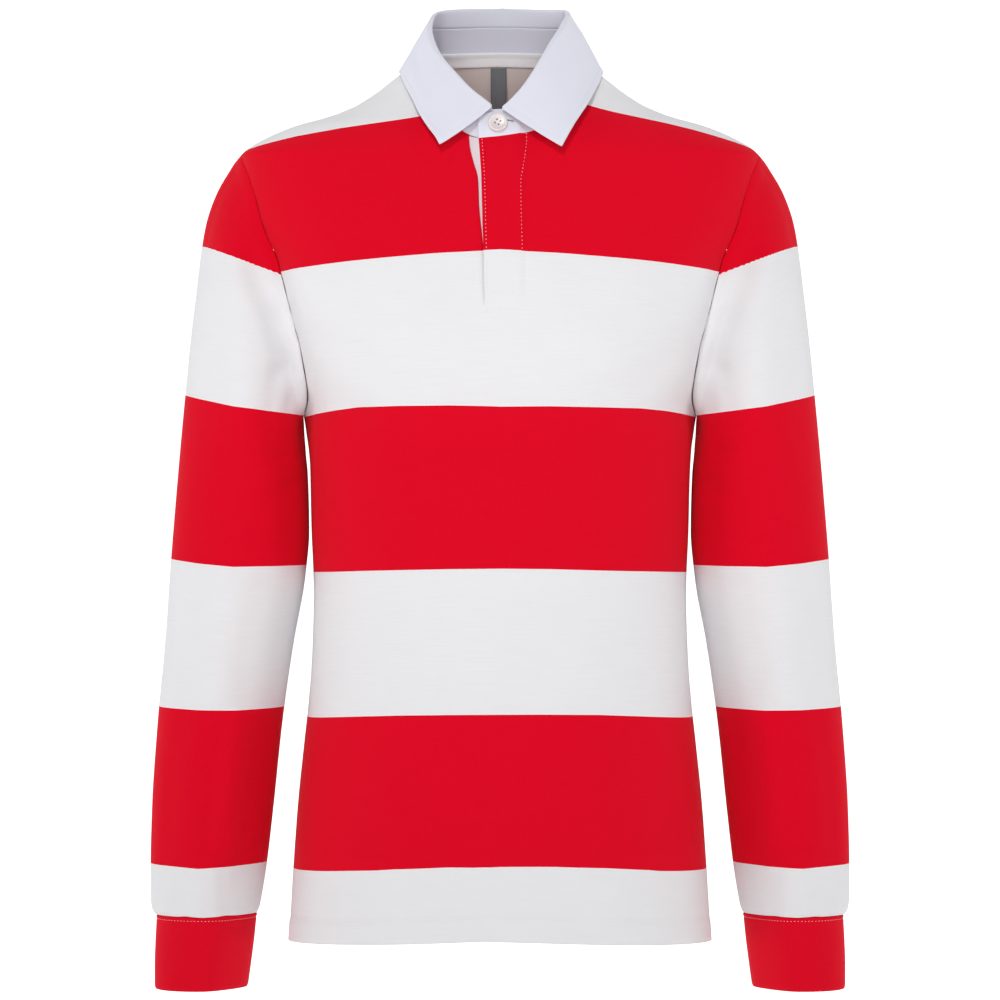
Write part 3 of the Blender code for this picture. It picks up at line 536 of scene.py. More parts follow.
# --------------------------------------------------------------------- meshing
def grid_normals(grid, closed):
    down = np.gradient(grid, axis=0)
    if closed:
        along = np.roll(grid, -1, axis=1) - np.roll(grid, 1, axis=1)
    else:
        along = np.gradient(grid, axis=1)
    return unit(np.cross(along, down))


def grid_quads(rows, columns, closed=False):
    across = columns if closed else columns - 1
    i, j = np.meshgrid(np.arange(rows - 1), np.arange(across), indexing="ij")
    a = i * columns + j
    b = i * columns + (j + 1) % columns
    return np.stack((a, b, b + columns, a + columns), axis=-1).reshape(-1, 4)


def cloth_uv(grid, closed):
    """Distances along the rows and down the columns, in metres."""
    step = np.linalg.norm(np.diff(grid, axis=1), axis=2).mean(axis=0)
    u = np.concatenate(([0.0], np.cumsum(step)))
    step = np.linalg.norm(np.diff(grid, axis=0), axis=2).mean(axis=1)
    v = np.concatenate(([0.0], -np.cumsum(step)))
    return np.stack(np.meshgrid(u, v), axis=-1) * MM


def placed(name, data):
    """A new object in the scene, at the origin, that shows the data."""
    thing = bpy.data.objects.new(name, data)
    bpy.context.scene.collection.objects.link(thing)
    return thing


def mesh_object(name, points, faces, material, uv=None, floats=None):
    """Mesh object from points in millimetres, with its UVs and attributes."""
    mesh = bpy.data.meshes.new(name)
    points = np.asarray(points, float) * MM
    faces = [tuple(int(v) for v in face) for face in faces]
    mesh.from_pydata(points, [], faces)
    if uv is not None:
        layer = mesh.uv_layers.new(name="cloth")
        corners = np.empty(len(mesh.loops), dtype=np.int32)
        mesh.loops.foreach_get("vertex_index", corners)
        layer.data.foreach_set("uv", np.asarray(uv)[corners].ravel())
    for key, values in (floats or {}).items():
        attribute = mesh.attributes.new(key, "FLOAT", "POINT")
        attribute.data.foreach_set("value", np.asarray(values, float))
    mesh.shade_smooth()
    mesh.materials.append(material)
    mesh.validate()
    mesh.update()
    return placed(name, mesh)


def shell(name, outer, normals, quads, wall, material, uv, floats=None):
    """Closed thin shell: outer face, inner face and a rounded rim between.

    outer, normals, uv and the floats are flat lists, and wall is one thickness
    or one for each point.
    """
    outer = np.asarray(outer, float)
    wall = np.broadcast_to(np.asarray(wall, float), len(outer))
    inner = outer - wall[:, None] * normals
    quads = np.asarray(quads)
    count = len(outer)
    ends = np.concatenate([quads[:, [i, (i + 1) % 4]] for i in range(4)])
    key = ends[:, 0].astype(np.int64) * count + ends[:, 1]
    back = ends[:, 1].astype(np.int64) * count + ends[:, 0]
    rim = ends[~np.isin(key, back)]
    border = np.unique(rim)
    place = {v: 2 * count + n for n, v in enumerate(border)}
    middle = (outer[border] + inner[border]) / 2
    heart = np.zeros((count, 3))
    seen = np.zeros(count)
    for i in range(4):
        for j in range(4):
            np.add.at(heart, quads[:, i], outer[quads[:, j]])
            np.add.at(seen, quads[:, i], 1)
    away = outer[border] - heart[border] / seen[border, None]
    away -= normals[border] * np.sum(away * normals[border], axis=1)[:, None]
    middle = middle + unit(away) * wall[border, None] * 0.38
    faces = [tuple(q) for q in quads]
    faces += [tuple(q[::-1] + count) for q in quads]
    for a, b in rim:
        faces.append((b, a, place[a], place[b]))
        faces.append((place[b], place[a], a + count, b + count))
    points = np.vstack((outer, inner, middle))
    pick = np.concatenate((np.arange(count), np.arange(count), border))
    floats = {k: np.asarray(v)[pick] for k, v in (floats or {}).items()}
    floats["inside"] = np.repeat((0.0, 1.0, 0.5), (count, count, len(border)))
    return mesh_object(name, points, faces, material, np.asarray(uv)[pick],
                       floats)


def cloth(name, grid, wall, material, outward, closed=False, floats=None,
          uv=None):
    """Shell on a grid, its face turned the way that outward (a grid) points."""
    grid = np.asarray(grid, float)
    normals = grid_normals(grid, closed)
    quads = grid_quads(*grid.shape[:2], closed=closed)
    if np.sum(normals * outward) < 0:
        normals = -normals
        quads = quads[:, ::-1]
    if uv is None:
        uv = cloth_uv(grid, closed)
    flat = {k: np.asarray(v).ravel() for k, v in (floats or {}).items()}
    wall = np.broadcast_to(wall, grid.shape[:2]).ravel()
    return shell(name, grid.reshape(-1, 3), normals.reshape(-1, 3), quads,
                 wall, material, np.asarray(uv).reshape(-1, 2), flat)


def settle(thing, node):
    """Puts a finished piece on the frame in place of its CAD node."""
    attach(thing, "root")
    if node:
        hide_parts(node)
    return thing


# ------------------------------------------------------------------- materials
MATH = "ShaderNodeMath"
SPLIT = "ShaderNodeSeparateXYZ"


def add_node(tree, kind, inputs=(), output=0, **settings):
    """Adds a node with its settings and inputs, and gives one of its outputs.

    inputs is a row of values and sockets or names them in a dict, and the
    whole list of outputs comes back where output is None.
    """
    made = tree.nodes.new(kind)
    for key, value in settings.items():
        setattr(made, key, value)
    named = isinstance(inputs, dict)
    for key, value in inputs.items() if named else enumerate(inputs):
        if isinstance(value, bpy.types.NodeSocket):
            tree.links.new(value, made.inputs[key])
        else:
            made.inputs[key].default_value = value
    return made.outputs if output is None else made.outputs[output]


def start_material(name, roughness, sheen, specular=0.04, coat=0.0):
    """A new material with its shader and the piece's cloth coordinates."""
    material = bpy.data.materials.new(name)
    material.use_nodes = True
    tree = material.node_tree
    shader = tree.nodes["Principled BSDF"]
    shader.inputs["Roughness"].default_value = roughness
    shader.inputs["Sheen Weight"].default_value = sheen
    shader.inputs["Sheen Roughness"].default_value = 0.6
    shader.inputs["Specular IOR Level"].default_value = specular
    shader.inputs["Coat Weight"].default_value = coat
    shader.inputs["Coat Roughness"].default_value = 0.25
    place = add_node(tree, "ShaderNodeUVMap", uv_map="cloth")
    return material, tree, shader, place


def mottled(tree, place, scale, size, detail=3.0):
    """Noise 0 to 1 on cloth coordinates that are stretched by scale."""
    spread = add_node(tree, "ShaderNodeMapping",
                      {"Vector": place, "Scale": scale})
    return add_node(tree, "ShaderNodeTexNoise",
                    {"Vector": spread, "Scale": size, "Detail": detail})


def uneven(tree, colour, noise, amount):
    """The colour made lighter and darker with the noise, by this share."""
    level = add_node(tree, MATH, (noise, 2 * amount, 1 - amount),
                     operation="MULTIPLY_ADD")
    grey = add_node(tree, "ShaderNodeCombineColor", (level, level, level))
    return add_node(tree, "ShaderNodeMix", {0: 1.0, 6: colour, 7: grey}, 2,
                    data_type="RGBA", blend_type="MULTIPLY")


def ridges(tree, along, pitch):
    """Ridges 0 to 0.5 high, one for each pitch of the way along."""
    count = add_node(tree, MATH, (along, pitch), operation="DIVIDE")
    return add_node(tree, MATH, (count, 0.5), operation="PINGPONG")


def knit_height(tree, place, wale, course):
    """Relief of plain knit: columns of V-shaped loops."""
    axes = add_node(tree, SPLIT, (place,), None)
    leg = add_node(tree, MATH, (ridges(tree, axes[0], wale), 2.0),
                   operation="MULTIPLY")
    row = add_node(tree, MATH, (axes[1], course), operation="DIVIDE")
    row = add_node(tree, MATH, (leg, 0.8, row), operation="MULTIPLY_ADD")
    loop = add_node(tree, MATH, (row, 0.5), operation="PINGPONG")
    loop = add_node(tree, MATH, (loop, 2.0), operation="MULTIPLY")
    rounded = add_node(tree, MATH, (leg, 0.6), operation="POWER")
    rounded = add_node(tree, MATH, (rounded, 0.55), operation="MULTIPLY")
    return add_node(tree, MATH, (loop, 0.45, rounded),
                    operation="MULTIPLY_ADD")


def finish_material(tree, shader, colour, height=None, depth=0.0):
    """Gives the shader its colour, and its relief where there is one."""
    tree.links.new(colour, shader.inputs["Base Color"])
    if height is not None:
        bump = add_node(tree, "ShaderNodeBump",
                        {"Height": height, "Distance": depth, "Strength": 0.8})
        tree.links.new(bump, shader.inputs["Normal"])


def jersey_material(sizes, colours):
    # Cotton single jersey, yarn-dyed in hoops: soft and matt, with a faint
    # bloom of loose fibre and slubs that run along the courses. Its columns
    # are drawn coarser than the real 0.8 mm so that they show.
    material, tree, shader, place = start_material("cotton_jersey", 0.9, 0.02)
    hoop = add_node(tree, "ShaderNodeAttribute", (), "Fac",
                    attribute_name="hoop")
    phase = add_node(tree, MATH, (hoop, 2.0), operation="DIVIDE")
    phase = add_node(tree, MATH, (phase,), operation="FRACT")
    dyed = add_node(tree, MATH, (
        add_node(tree, MATH, (phase, 0.5), operation="LESS_THAN"),
        add_node(tree, MATH, (hoop, 0.0), operation="GREATER_THAN")),
        operation="MULTIPLY")
    # The white hoops' inner faces take a darker, warmer white: painted shade for the
    # inside of the shirt, as the yarn is the same white on both sides.
    inside = add_node(tree, "ShaderNodeAttribute", (), "Fac",
                      attribute_name="inside")
    white = add_node(tree, "ShaderNodeMix",
                     {0: inside, 6: (*colours.white, 1),
                      7: (*colours.inside_white_painted_shade, 1)}, 2, data_type="RGBA")
    colour = add_node(tree, "ShaderNodeMix",
                      {0: dyed, 6: white, 7: (*colours.red, 1)}, 2,
                      data_type="RGBA")
    slub = mottled(tree, place, (30.0, 900.0, 1.0), 1.0)
    cloud = mottled(tree, place, (1.0, 1.0, 1.0), 26.0, 2.0)
    colour = uneven(tree, uneven(tree, colour, slub, 0.035), cloud, 0.012)
    height = knit_height(tree, place, sizes.wale, sizes.wale * 0.8)
    height = add_node(tree, MATH, (slub, 0.8, height),
                      operation="MULTIPLY_ADD")
    finish_material(tree, shader, colour, height, 0.00012)
    return material


def rib_material(sizes, colours):
    # Cotton-elastane rib, knitted in the hoops' red: fine upright ribs that
    # catch the light on one flank, drawn coarser than the real 1 mm.
    material, tree, shader, place = start_material("cotton_rib_knit", 0.88,
                                                   0.03)
    axes = add_node(tree, SPLIT, (place,), None)
    rib = add_node(tree, MATH, (ridges(tree, axes[0], sizes.wale * 1.4), 2.0),
                   operation="MULTIPLY")
    rib = add_node(tree, MATH, (rib, 0.7, 0.3), operation="SMOOTH_MIN")
    slub = mottled(tree, place, (60.0, 500.0, 1.0), 1.0)
    fine = knit_height(tree, place, sizes.wale * 0.7, sizes.wale * 0.8)
    height = add_node(tree, MATH, (fine, 0.35, rib), operation="MULTIPLY_ADD")
    finish_material(tree, shader, uneven(tree, (*colours.red, 1), slub, 0.04),
                    height, 0.00016)
    return material


def twill_material(name, colour, wale):
    # Bleached cotton twill: crisp and cool white, with a fine diagonal line
    # that is drawn coarser than the real 0.6 mm.
    material, tree, shader, place = start_material(name, 0.82, 0.03)
    axes = add_node(tree, SPLIT, (place,), None)
    slant = add_node(tree, MATH, (axes[1], 1.3), operation="MULTIPLY")
    slant = add_node(tree, MATH, (axes[0], slant), operation="ADD")
    line = ridges(tree, slant, wale)
    yarn = ridges(tree, axes[1], wale * 0.6)
    noise = mottled(tree, place, (300.0, 300.0, 1.0), 1.0)
    # The inner side is lighter, as light that falls in is thrown about there.
    inner = tuple(channel ** 0.15 for channel in colour)
    inside = add_node(tree, "ShaderNodeAttribute", (), "Fac",
                      attribute_name="inside")
    both = add_node(tree, "ShaderNodeMix",
                    {0: inside, 6: (*colour, 1), 7: (*inner, 1)}, 2,
                    data_type="RGBA")
    height = add_node(tree, MATH, (yarn, 0.5, line), operation="MULTIPLY_ADD")
    height = add_node(tree, MATH, (noise, 0.5, height),
                      operation="MULTIPLY_ADD")
    finish_material(tree, shader, uneven(tree, both, noise, 0.018), height,
                    0.0001)
    return material


def ribbon_material(colours):
    # Woven polyester satin ribbon: dark grey, smoother than the cotton, with
    # a soft gleam along its length.
    material, tree, shader, place = start_material("satin_ribbon", 0.5, 0.05,
                                                   0.4)
    axes = add_node(tree, SPLIT, (place,), None)
    rows = ridges(tree, axes[1], 0.0006)
    noise = mottled(tree, place, (900.0, 60.0, 1.0), 1.0)
    height = add_node(tree, MATH, (noise, 0.5, rows), operation="MULTIPLY_ADD")
    finish_material(tree, shader, uneven(tree, (*colours.ribbon, 1), noise,
                                         0.1), height, 0.00005)
    return material


def resin_material(colours):
    # Cast polyester resin, turned and polished: warm white with a faint cloud
    # and a clear, soft highlight.
    material, tree, shader, _place = start_material("polyester_resin", 0.32,
                                                    0.0, 0.5, 0.4)
    spot = add_node(tree, "ShaderNodeTexCoord", (), "Object")
    cloud = mottled(tree, spot, (1.0, 1.0, 1.0), 260.0, 2.0)
    finish_material(tree, shader, uneven(tree, (*colours.resin, 1), cloud,
                                         0.03))
    return material


def thread_material(name, colour):
    # Spun polyester sewing thread: slightly shiny, with a fine twist.
    material, tree, shader, _place = start_material(name, 0.6, 0.1, 0.4)
    spot = add_node(tree, "ShaderNodeTexCoord", (), "Object")
    twist = mottled(tree, spot, (1.0, 1.0, 1.0), 3000.0, 1.0)
    finish_material(tree, shader, uneven(tree, (*colour, 1), twist, 0.06))
    return material


def paper_material(colours):
    # Seamless background paper: matt, and lit so evenly that it reads white.
    material, tree, shader, _place = start_material("background_paper", 0.95,
                                                    0.0, 0.1)
    spot = add_node(tree, "ShaderNodeTexCoord", (), "Object")
    grain = mottled(tree, spot, (1.0, 1.0, 1.0), 400.0, 2.0)
    finish_material(tree, shader, uneven(tree, (*colours.paper, 1), grain,
                                         0.004))
    shader.inputs["Emission Color"].default_value = (1, 1, 1, 1)
    shader.inputs["Emission Strength"].default_value = 1.0
    return material


def get_material(name, build):
    return bpy.data.materials.get(name) or build()


# -------------------------------------------------------------- front and back
LOWER_ROWS = 11
ARM_ROWS = 12
SLIT_ROW = 3
LAP_NECK_ROW = 6
SLIT_NECK_ROW = 8
BACK_NECK_ROW = 7
LOWER_STEPS = 12         # fine rows for each of those below the armpit
ARM_STEPS = 8            # and for each above it
SEAM_GAP = 0.3
LAP_SHARES = np.concatenate((np.linspace(0, 0.13, 27),
                             np.linspace(0.13, 0.95, 50)[1:],
                             np.linspace(0.95, 1.0, 9)[1:]))
PLAIN_SHARES = np.concatenate((np.linspace(0, 0.08, 9),
                               np.linspace(0.08, 0.95, 52)[1:],
                               np.linspace(0.95, 1.0, 9)[1:]))


def panel_rows(edge, neck_start, neck_end, neck_row):
    """(inner across, inner height, outer turn, outer height) of fine rows."""
    low = np.arange(LOWER_ROWS * LOWER_STEPS) / (LOWER_ROWS * LOWER_STEPS)
    z = HEM_HEIGHT + (ARMPIT[1] - HEM_HEIGHT) * low
    inner = z + course_rise(z)
    lower = np.stack((edge(inner), inner, np.full(len(z), 90.0), z), axis=1)
    k = np.arange(ARM_ROWS * ARM_STEPS + 1) / ARM_STEPS
    z = ARMHOLE_MIDDLE - ARMHOLE_HALF * np.cos(pi * k / ARM_ROWS)
    turn = turn_at(armhole_across(z), z)
    turn[0] = turn[-1] = 90.0
    start = ARMPIT[1] + course_rise(ARMPIT[1])
    inner = np.interp(k, (0, SLIT_ROW, neck_row),
                      (start, SLIT_BOTTOM, neck_height(neck_start)))
    across = edge(inner)
    share = (k - neck_row) / (ARM_ROWS - neck_row)
    at = neck_start + (neck_end - neck_start) * np.maximum(share, 0)
    sign = -1 if neck_start > 180 else 1
    on_neck = k >= neck_row
    across = np.where(on_neck, neck_across(at) * sign, across)
    inner = np.where(on_neck, neck_height(at), inner)
    return np.vstack((lower, np.stack((across, inner, turn, z), axis=1)))


def section_length(turn, z, face):
    """Length round the level section from the centre line out to a turn."""
    shares = np.linspace(0, 1, 25)[:, None, None]
    points = body_point(turn * shares, z, face)
    steps = np.linalg.norm(np.diff(points, axis=0), axis=-1)
    return steps.sum(axis=0) * np.sign(turn)


def panel_half(rows, shares, face, lifted, mirrored, table, sizes):
    """Outer points, normals, hoops and cloth coordinates of half a panel."""
    across, inner, outer_turn, outer = [rows[:, i, None] for i in range(4)]
    start = turn_at(across, inner)
    turn = start + (outer_turn - start) * shares
    z = inner + (outer - inner) * shares
    points = body_point(turn, z, face)
    normals = body_normal(turn, z, face)
    length = section_length(turn, z, face)
    side = -1 if mirrored else 1
    hoops = body_hoops(points * (side, 1, 1))
    hole = np.where(z > ARMPIT[1], armhole_across(z) - points[..., 0], 60.0)
    out = creases(table, side * points[..., 0], z) * ease(hole / 16)
    if face < 0:
        out += armpit_hollow(points)
    if lifted:
        out += lap_lift(points[..., 0], z)
        valley = (points[..., 0] - LAP_END - 1.5) / 1.6
        out -= 0.28 * np.exp(-valley ** 2) * ease((z - PLACKET_BOTTOM) / 6)
        crossing = ease((LAP_END - 1 - points[..., 0]) / 3)
        out -= 0.6 * crossing * np.exp(-((z - BOX_DENT) / 1.2) ** 2)
        out -= 0.3 * crossing * np.exp(-((z - PLACKET_BOTTOM) / 2.2) ** 2)
        bulge = ((z + 204.0) / 16) ** 2 + (points[..., 0] / 17) ** 2
        out += 0.9 * np.exp(-bulge) * ease((PLACKET_BOTTOM + 22 - z) / 12)
    seam = np.exp(-(np.abs(points[..., 1]) / 3.2) ** 2)
    out -= sizes.seam_dip * MILLE * np.maximum(seam, np.exp(-(hole / 3) ** 2))
    ripple = np.sin(z / 5.3) * np.sin(z / 13.0 + 1.0)
    out += 0.22 * ripple * np.exp(-(hole / 9) ** 2)
    above = z - z[:1]
    hem = sizes.hem_depth * MILLE
    out += 0.8 * ease((hem + 1.5 - above) / 2.5)
    out -= 0.9 * np.exp(-((above - hem) / 1.8) ** 2)
    wave = np.sin(length / 9.0) * np.sin(length / 23.0 + 0.7)
    out += 0.18 * wave * np.exp(-(above / 34) ** 2)
    points = points + out[..., None] * normals
    points[..., 1] += face * SEAM_GAP / 2
    points[..., 0] *= side
    normals = normals * (side, 1, 1)
    cloth_place = np.stack((side * length, -hoops * HOOP_PITCH), axis=-1) * MM
    return points, normals, hoops, cloth_place


def panel(name, halves, shared, face, wall, material):
    """Shell of two halves, which share their inner column up to a row."""
    (points, normals, hoops, place), (points_2, normals_2, hoops_2,
                                      place_2) = halves
    rows, width = points.shape[:2]
    width_2 = points_2.shape[1]
    quads = grid_quads(rows, width)
    other = grid_quads(rows, width_2)
    row, column = np.divmod(other, width_2)
    on_centre = (column == 0) & (row <= shared)
    other = np.where(on_centre, row * width, other + rows * width)[:, ::-1]
    quads = np.vstack((quads, other))
    if face > 0:
        quads = quads[:, ::-1]
    used, quads = np.unique(quads, return_inverse=True)
    quads = quads.reshape(-1, 4)

    def joined(one, two):
        tail = one.shape[2:]
        return np.concatenate((one.reshape(-1, *tail),
                               two.reshape(-1, *tail)))[used]
    return shell(name, joined(points, points_2), joined(normals, normals_2),
                 quads, wall, material, joined(place, place_2),
                 {"hoop": joined(hoops, hoops_2)})


# ---------------------------------------------------------------------- sleeve
SLEEVE_SPLIT = 112       # points round a sleeve
SLEEVE_STEPS = 10        # fine rings for each of the table's


def by_index(table, at):
    """The table's columns read smoothly at fractional row numbers."""
    rows = [(i, *row) for i, row in enumerate(table)]
    return np.stack([smooth(rows, c + 1)(at) for c in range(len(table[0]))],
                    axis=-1)


def flat_rings(values, angle):
    """Rings from table values, round from the outside by the front."""
    outer_x, outer_z, inner_x, inner_z, depth, forward = [
        values[:, i, None] for i in range(6)]
    share = (1 + np.cos(angle)) / 2
    return np.stack((inner_x + (outer_x - inner_x) * share,
                     -forward - depth * np.sin(angle),
                     inner_z + (outer_z - inner_z) * share), axis=-1)


def armhole_ring(angle):
    z = ARMHOLE_MIDDLE + ARMHOLE_HALF * np.cos(angle)
    turn = turn_at(armhole_across(z), z)
    front = body_point(turn, z, -1)
    deep = armpit_hollow(front)
    front = front + deep[:, None] * body_normal(turn, z, -1)
    back = body_point(turn, z, 1)
    return np.where((np.sin(angle) >= 0)[:, None], front, back)


def turned_back(rings, angle):
    """The rings with their inner side set back, as the forearm turns in."""
    inner = ease((-0.1 - np.cos(angle)) / 0.9)
    back = FOREARM_TURN * inner * ease((-400 - rings[..., 2]) / 150)
    return rings + np.stack((0 * back, back, 0 * back), axis=-1)


def sleeve_grid(sizes, mirrored):
    angle = np.arange(SLEEVE_SPLIT) * 2 * pi / SLEEVE_SPLIT
    table = ((*SHOULDER_POINT, *ARMPIT, ARMHOLE_DEPTH, 0.0),) + SLEEVE
    at = np.arange((len(table) - 1) * SLEEVE_STEPS + 1) / SLEEVE_STEPS
    rings = flat_rings(by_index(table, at), angle)
    fade_rows = [(i, f) for i, f in enumerate((1.0, *ARMHOLE_FADE, 0.0, 0.0))]
    fade = smooth(fade_rows, 1)(at)[:, None, None]
    straight = flat_rings(np.array([table[0]]), angle)[0]
    offset = armhole_ring(angle) - straight
    rings = rings + offset * fade
    rings[:, :, 0] += SEAM_GAP
    rings = turned_back(rings, angle)
    normals = grid_normals(rings, True)
    away = rings - rings.mean(axis=1, keepdims=True)
    if np.sum(normals * away) < 0:
        normals = -normals
    share = np.broadcast_to(np.cos(angle), rings.shape[:2])
    front = np.broadcast_to(np.sin(angle) >= 0, rings.shape[:2])
    soften = np.minimum(np.abs(np.sin(angle)) * 4, 1.0)
    z = rings[..., 2] + (3.0 if mirrored else 0.0)
    out = np.where(front,
                   creases(SLEEVE_FRONT_CREASES, share, z, SLEEVE_HALF),
                   creases(SLEEVE_BACK_CREASES, share, z, SLEEVE_HALF))
    step = np.linalg.norm(np.diff(rings, axis=0), axis=2)
    run = np.concatenate((np.zeros((1, SLEEVE_SPLIT)), np.cumsum(step, 0)))
    out += creases(SLEEVE_DRAGS, rings[..., 0], z) * front
    out = out * (1.12 if mirrored else 1.0) * soften * ease(run / 14)
    out -= sizes.seam_dip * MILLE * np.exp(-(run / 3.0) ** 2)
    out += 0.3 * np.exp(-((run - 9) / 6) ** 2)
    out += 0.22 * (np.sin(z / 5.1 + 2) * np.sin(z / 12.0)
                   * np.exp(-(run / 11) ** 2))
    pressed = np.exp(-((share - 0.985) / 0.012) ** 2)
    out += 0.5 * pressed * ease((-560 - z) / 90) * front
    left = run[-1:] - run
    gather = np.sin(angle * 17 + 1.3) + 0.6 * np.sin(angle * 29 + 0.4)
    out += 0.28 * gather * np.exp(-(left / 16) ** 2) * ease(left / 5)
    rings = rings + out[..., None] * normals
    return rings, away


def cuff_grid():
    angle = np.arange(SLEEVE_SPLIT) * 2 * pi / SLEEVE_SPLIT
    at = np.linspace(0, len(CUFF) - 1, 37)
    rings = turned_back(flat_rings(by_index(CUFF, at), angle), angle)
    away = rings - rings.mean(axis=1, keepdims=True)
    normals = unit(away * (1, 1, 0))
    down = CUFF[0][1] - rings[..., 2]
    out = -0.5 * np.exp(-(down / 1.4) ** 2)
    out += 0.35 * np.exp(-((down - 1.6) / 1.0) ** 2)
    out -= 0.4 * np.exp(-((down - 3.3) / 0.8) ** 2)
    pucker = np.sin(angle * 23) * np.exp(-(down / 7) ** 2)
    out += 0.12 * pucker
    total = CUFF[0][1] - CUFF[-1][1]
    out -= 0.7 * ease((down - total + 2.5) / 2.5)
    out += 0.5 * np.sin(angle * 2 + 0.6) * ease(down / 30)
    return rings + out[..., None] * normals, away


# ---------------------------------------------------------------------- collar
STAND_WALL = 2.0
LEAF_WALL = 1.6
CUFF_WALL = 1.8
STRIP_WALL = 0.8         # of the placket's inner strips
TAPE_WALL = 0.9
LABEL_WALL = 0.8
STAND_STEPS = 300


def seam_station(turn):
    """Points of the neck seam at turns round the neck."""
    z = neck_height(turn)
    across = neck_across(turn)
    at = turn_at(across, z)
    out = neck_out(turn) + np.where(turn < 90, lap_lift(across, z), 0.0)
    back = (turn > 90) & (turn < 270)
    points = []
    for face in (-1, 1):
        point = body_point(at, z, face)
        point = point + out[..., None] * body_normal(at, z, face)
        points.append(point + (0, face * SEAM_GAP / 2, 0))
    return np.where(back[..., None], points[1], points[0])


def outward(point):
    """Level directions from the neck's axis to points."""
    return unit(point * (1, 1, 0) - np.array((0, COLLAR_AXIS, 0)))


def stand_point(turn, share, lost=0.0):
    """Outer face of the collar stand, share of the way up its rise."""
    turn, share, lost = np.broadcast_arrays(
        np.asarray(turn, float), np.asarray(share, float), lost)
    rise = stand_rise(turn)
    share = share * (1 - lost / rise)
    spread = turn - 2.3 * share * ease((6 - turn) / 20)
    foot = seam_station(spread)
    climb = SEAM_GAP + rise * share
    up = np.stack((0 * climb, 0 * climb, climb), axis=-1)
    return foot + up - STAND_LEAN * share[..., None] * outward(foot)


def stand_grid():
    first, last = NECK[0][0], NECK[-1][0]
    corner = np.degrees(STAND_CORNER / NECK_HALF_WIDTH)
    ends = corner * (1 - np.cos(np.linspace(0, pi / 2, 12)))
    turns = np.concatenate((first + ends,
                            np.linspace(first + corner, last - corner,
                                        STAND_STEPS)[1:-1],
                            (last - ends)[::-1]))
    from_end = np.radians(np.minimum(turns - first, last - turns))
    drop = np.maximum(0.0, STAND_CORNER - from_end * NECK_HALF_WIDTH)
    lost = STAND_CORNER - np.sqrt(STAND_CORNER ** 2 - drop ** 2)
    shares = np.linspace(0, 1, 19)[:, None]
    grid = stand_point(turns[None], shares, lost[None])
    swell = 0.5 * np.sin(pi * shares[:, 0])[:, None, None]
    return grid + swell * outward(grid)


def leaf_half(table, side):
    """Grid of one half of the leaf: a row is its path from stand to edge."""
    first = table[0][0]
    turns = first + (180 - first) * np.linspace(0, 1, 131) ** 1.15
    values = [smooth(table, c)(turns)[:, None]
              for c in range(1, len(LEAF_COLUMNS))]
    fold = np.concatenate((values[0], -values[1], values[2]), axis=1)
    edge = np.concatenate((values[3], -values[4], values[5]), axis=1)
    width, sag = values[6], values[7]
    out = outward(fold)
    up = np.array((0.0, 0.0, 1.0))
    stand_turn = turns if side > 0 else 360 - turns
    top = stand_point(stand_turn, 1.0) * (side, 1, 1)
    foot = top - (STAND_WALL + 0.1) * outward(top) + 0.65 * up
    inner = fold + width * FOLD_PROFILE[0][1] * up
    path = []
    for t in np.linspace(0, 1, 9)[:-1]:
        middle = (foot + inner) / 2 - 0.6 * out
        path.append(foot * (1 - t) ** 2 + middle * 2 * t * (1 - t)
                    + inner * t * t)
    for away, high in FOLD_PROFILE:
        path.append(fold + out * width * away + up * width * high)
    start = path[-1]
    knee = start + (edge - start) * 0.5 + out * 1.4 - sag * up
    for t in np.linspace(0, 1, 31)[1:]:
        path.append(start * (1 - t) ** 2 + knee * 2 * t * (1 - t)
                    + edge * t * t)
    return np.stack(path, axis=1) * (side, 1, 1), 8 + len(FOLD_PROFILE)


def edge_distance(grid, fall_start):
    """How far points of the leaf are from its free edge and front ends."""
    down = np.linalg.norm(np.diff(grid, axis=1), axis=2)[:, ::-1]
    free = np.concatenate((np.zeros((len(grid), 1)), np.cumsum(down, 1)), 1)
    free = free[:, ::-1]
    along = np.linalg.norm(np.diff(grid, axis=0), axis=2)
    zero = np.zeros((1, grid.shape[1]))
    one = np.concatenate((zero, np.cumsum(along, 0)))
    two = np.concatenate((np.cumsum(along[::-1], 0)[::-1], zero))
    ends = np.minimum(one, two)
    ends[:, :fall_start] = 60
    return free, ends


def leaf_grid(sizes):
    """The whole leaf from its right front end round to its left one."""
    right, fall_start = leaf_half(LEAF_RIGHT, 1)
    left, _ = leaf_half(LEAF_LEFT, -1)
    grid = np.vstack((right, left[::-1][1:]))
    normals = grid_normals(grid, False)
    if np.sum(normals[:, fall_start:] * outward(grid[:, fall_start:])) < 0:
        normals = -normals
    free, ends = edge_distance(grid, fall_start)
    near = np.minimum(free, ends)
    inset = sizes.leaf_inset * MILLE
    out = 0.35 * ease((inset + 0.6 - near) / 1.2)
    out -= 0.4 * np.exp(-((near - inset) / 0.9) ** 2)
    x, z = grid[..., 0], grid[..., 2]
    fall = np.broadcast_to(np.arange(grid.shape[1]) >= fall_start, x.shape)
    soft = creases(LEAF_CREASES, x, z) * fall
    back_ridge = np.exp(-((x - 2.5) / 1.6) ** 2) * (grid[..., 1] > 30)
    out = out + soft + 0.6 * back_ridge * ~fall
    return grid + out[..., None] * normals, normals, fall_start




# ---------------------------------------------- pieces lying inside the others
def search_tree(*things):
    trees = []
    for thing in things:
        mesh = thing.data
        trees.append(BVHTree.FromPolygons(
            [vertex.co for vertex in mesh.vertices],
            [tuple(face.vertices) for face in mesh.polygons]))
    return trees


def first_hit(trees, start, direction):
    """Nearest place of the cloths seen from start, in millimetres, or None."""
    best = None
    for tree in trees:
        place, normal, _index, far = tree.ray_cast(Vector(start) * MM,
                                                   Vector(direction))
        if place is not None and (best is None or far < best[2]):
            best = (np.array(place) / MM, np.array(normal), far)
    return best


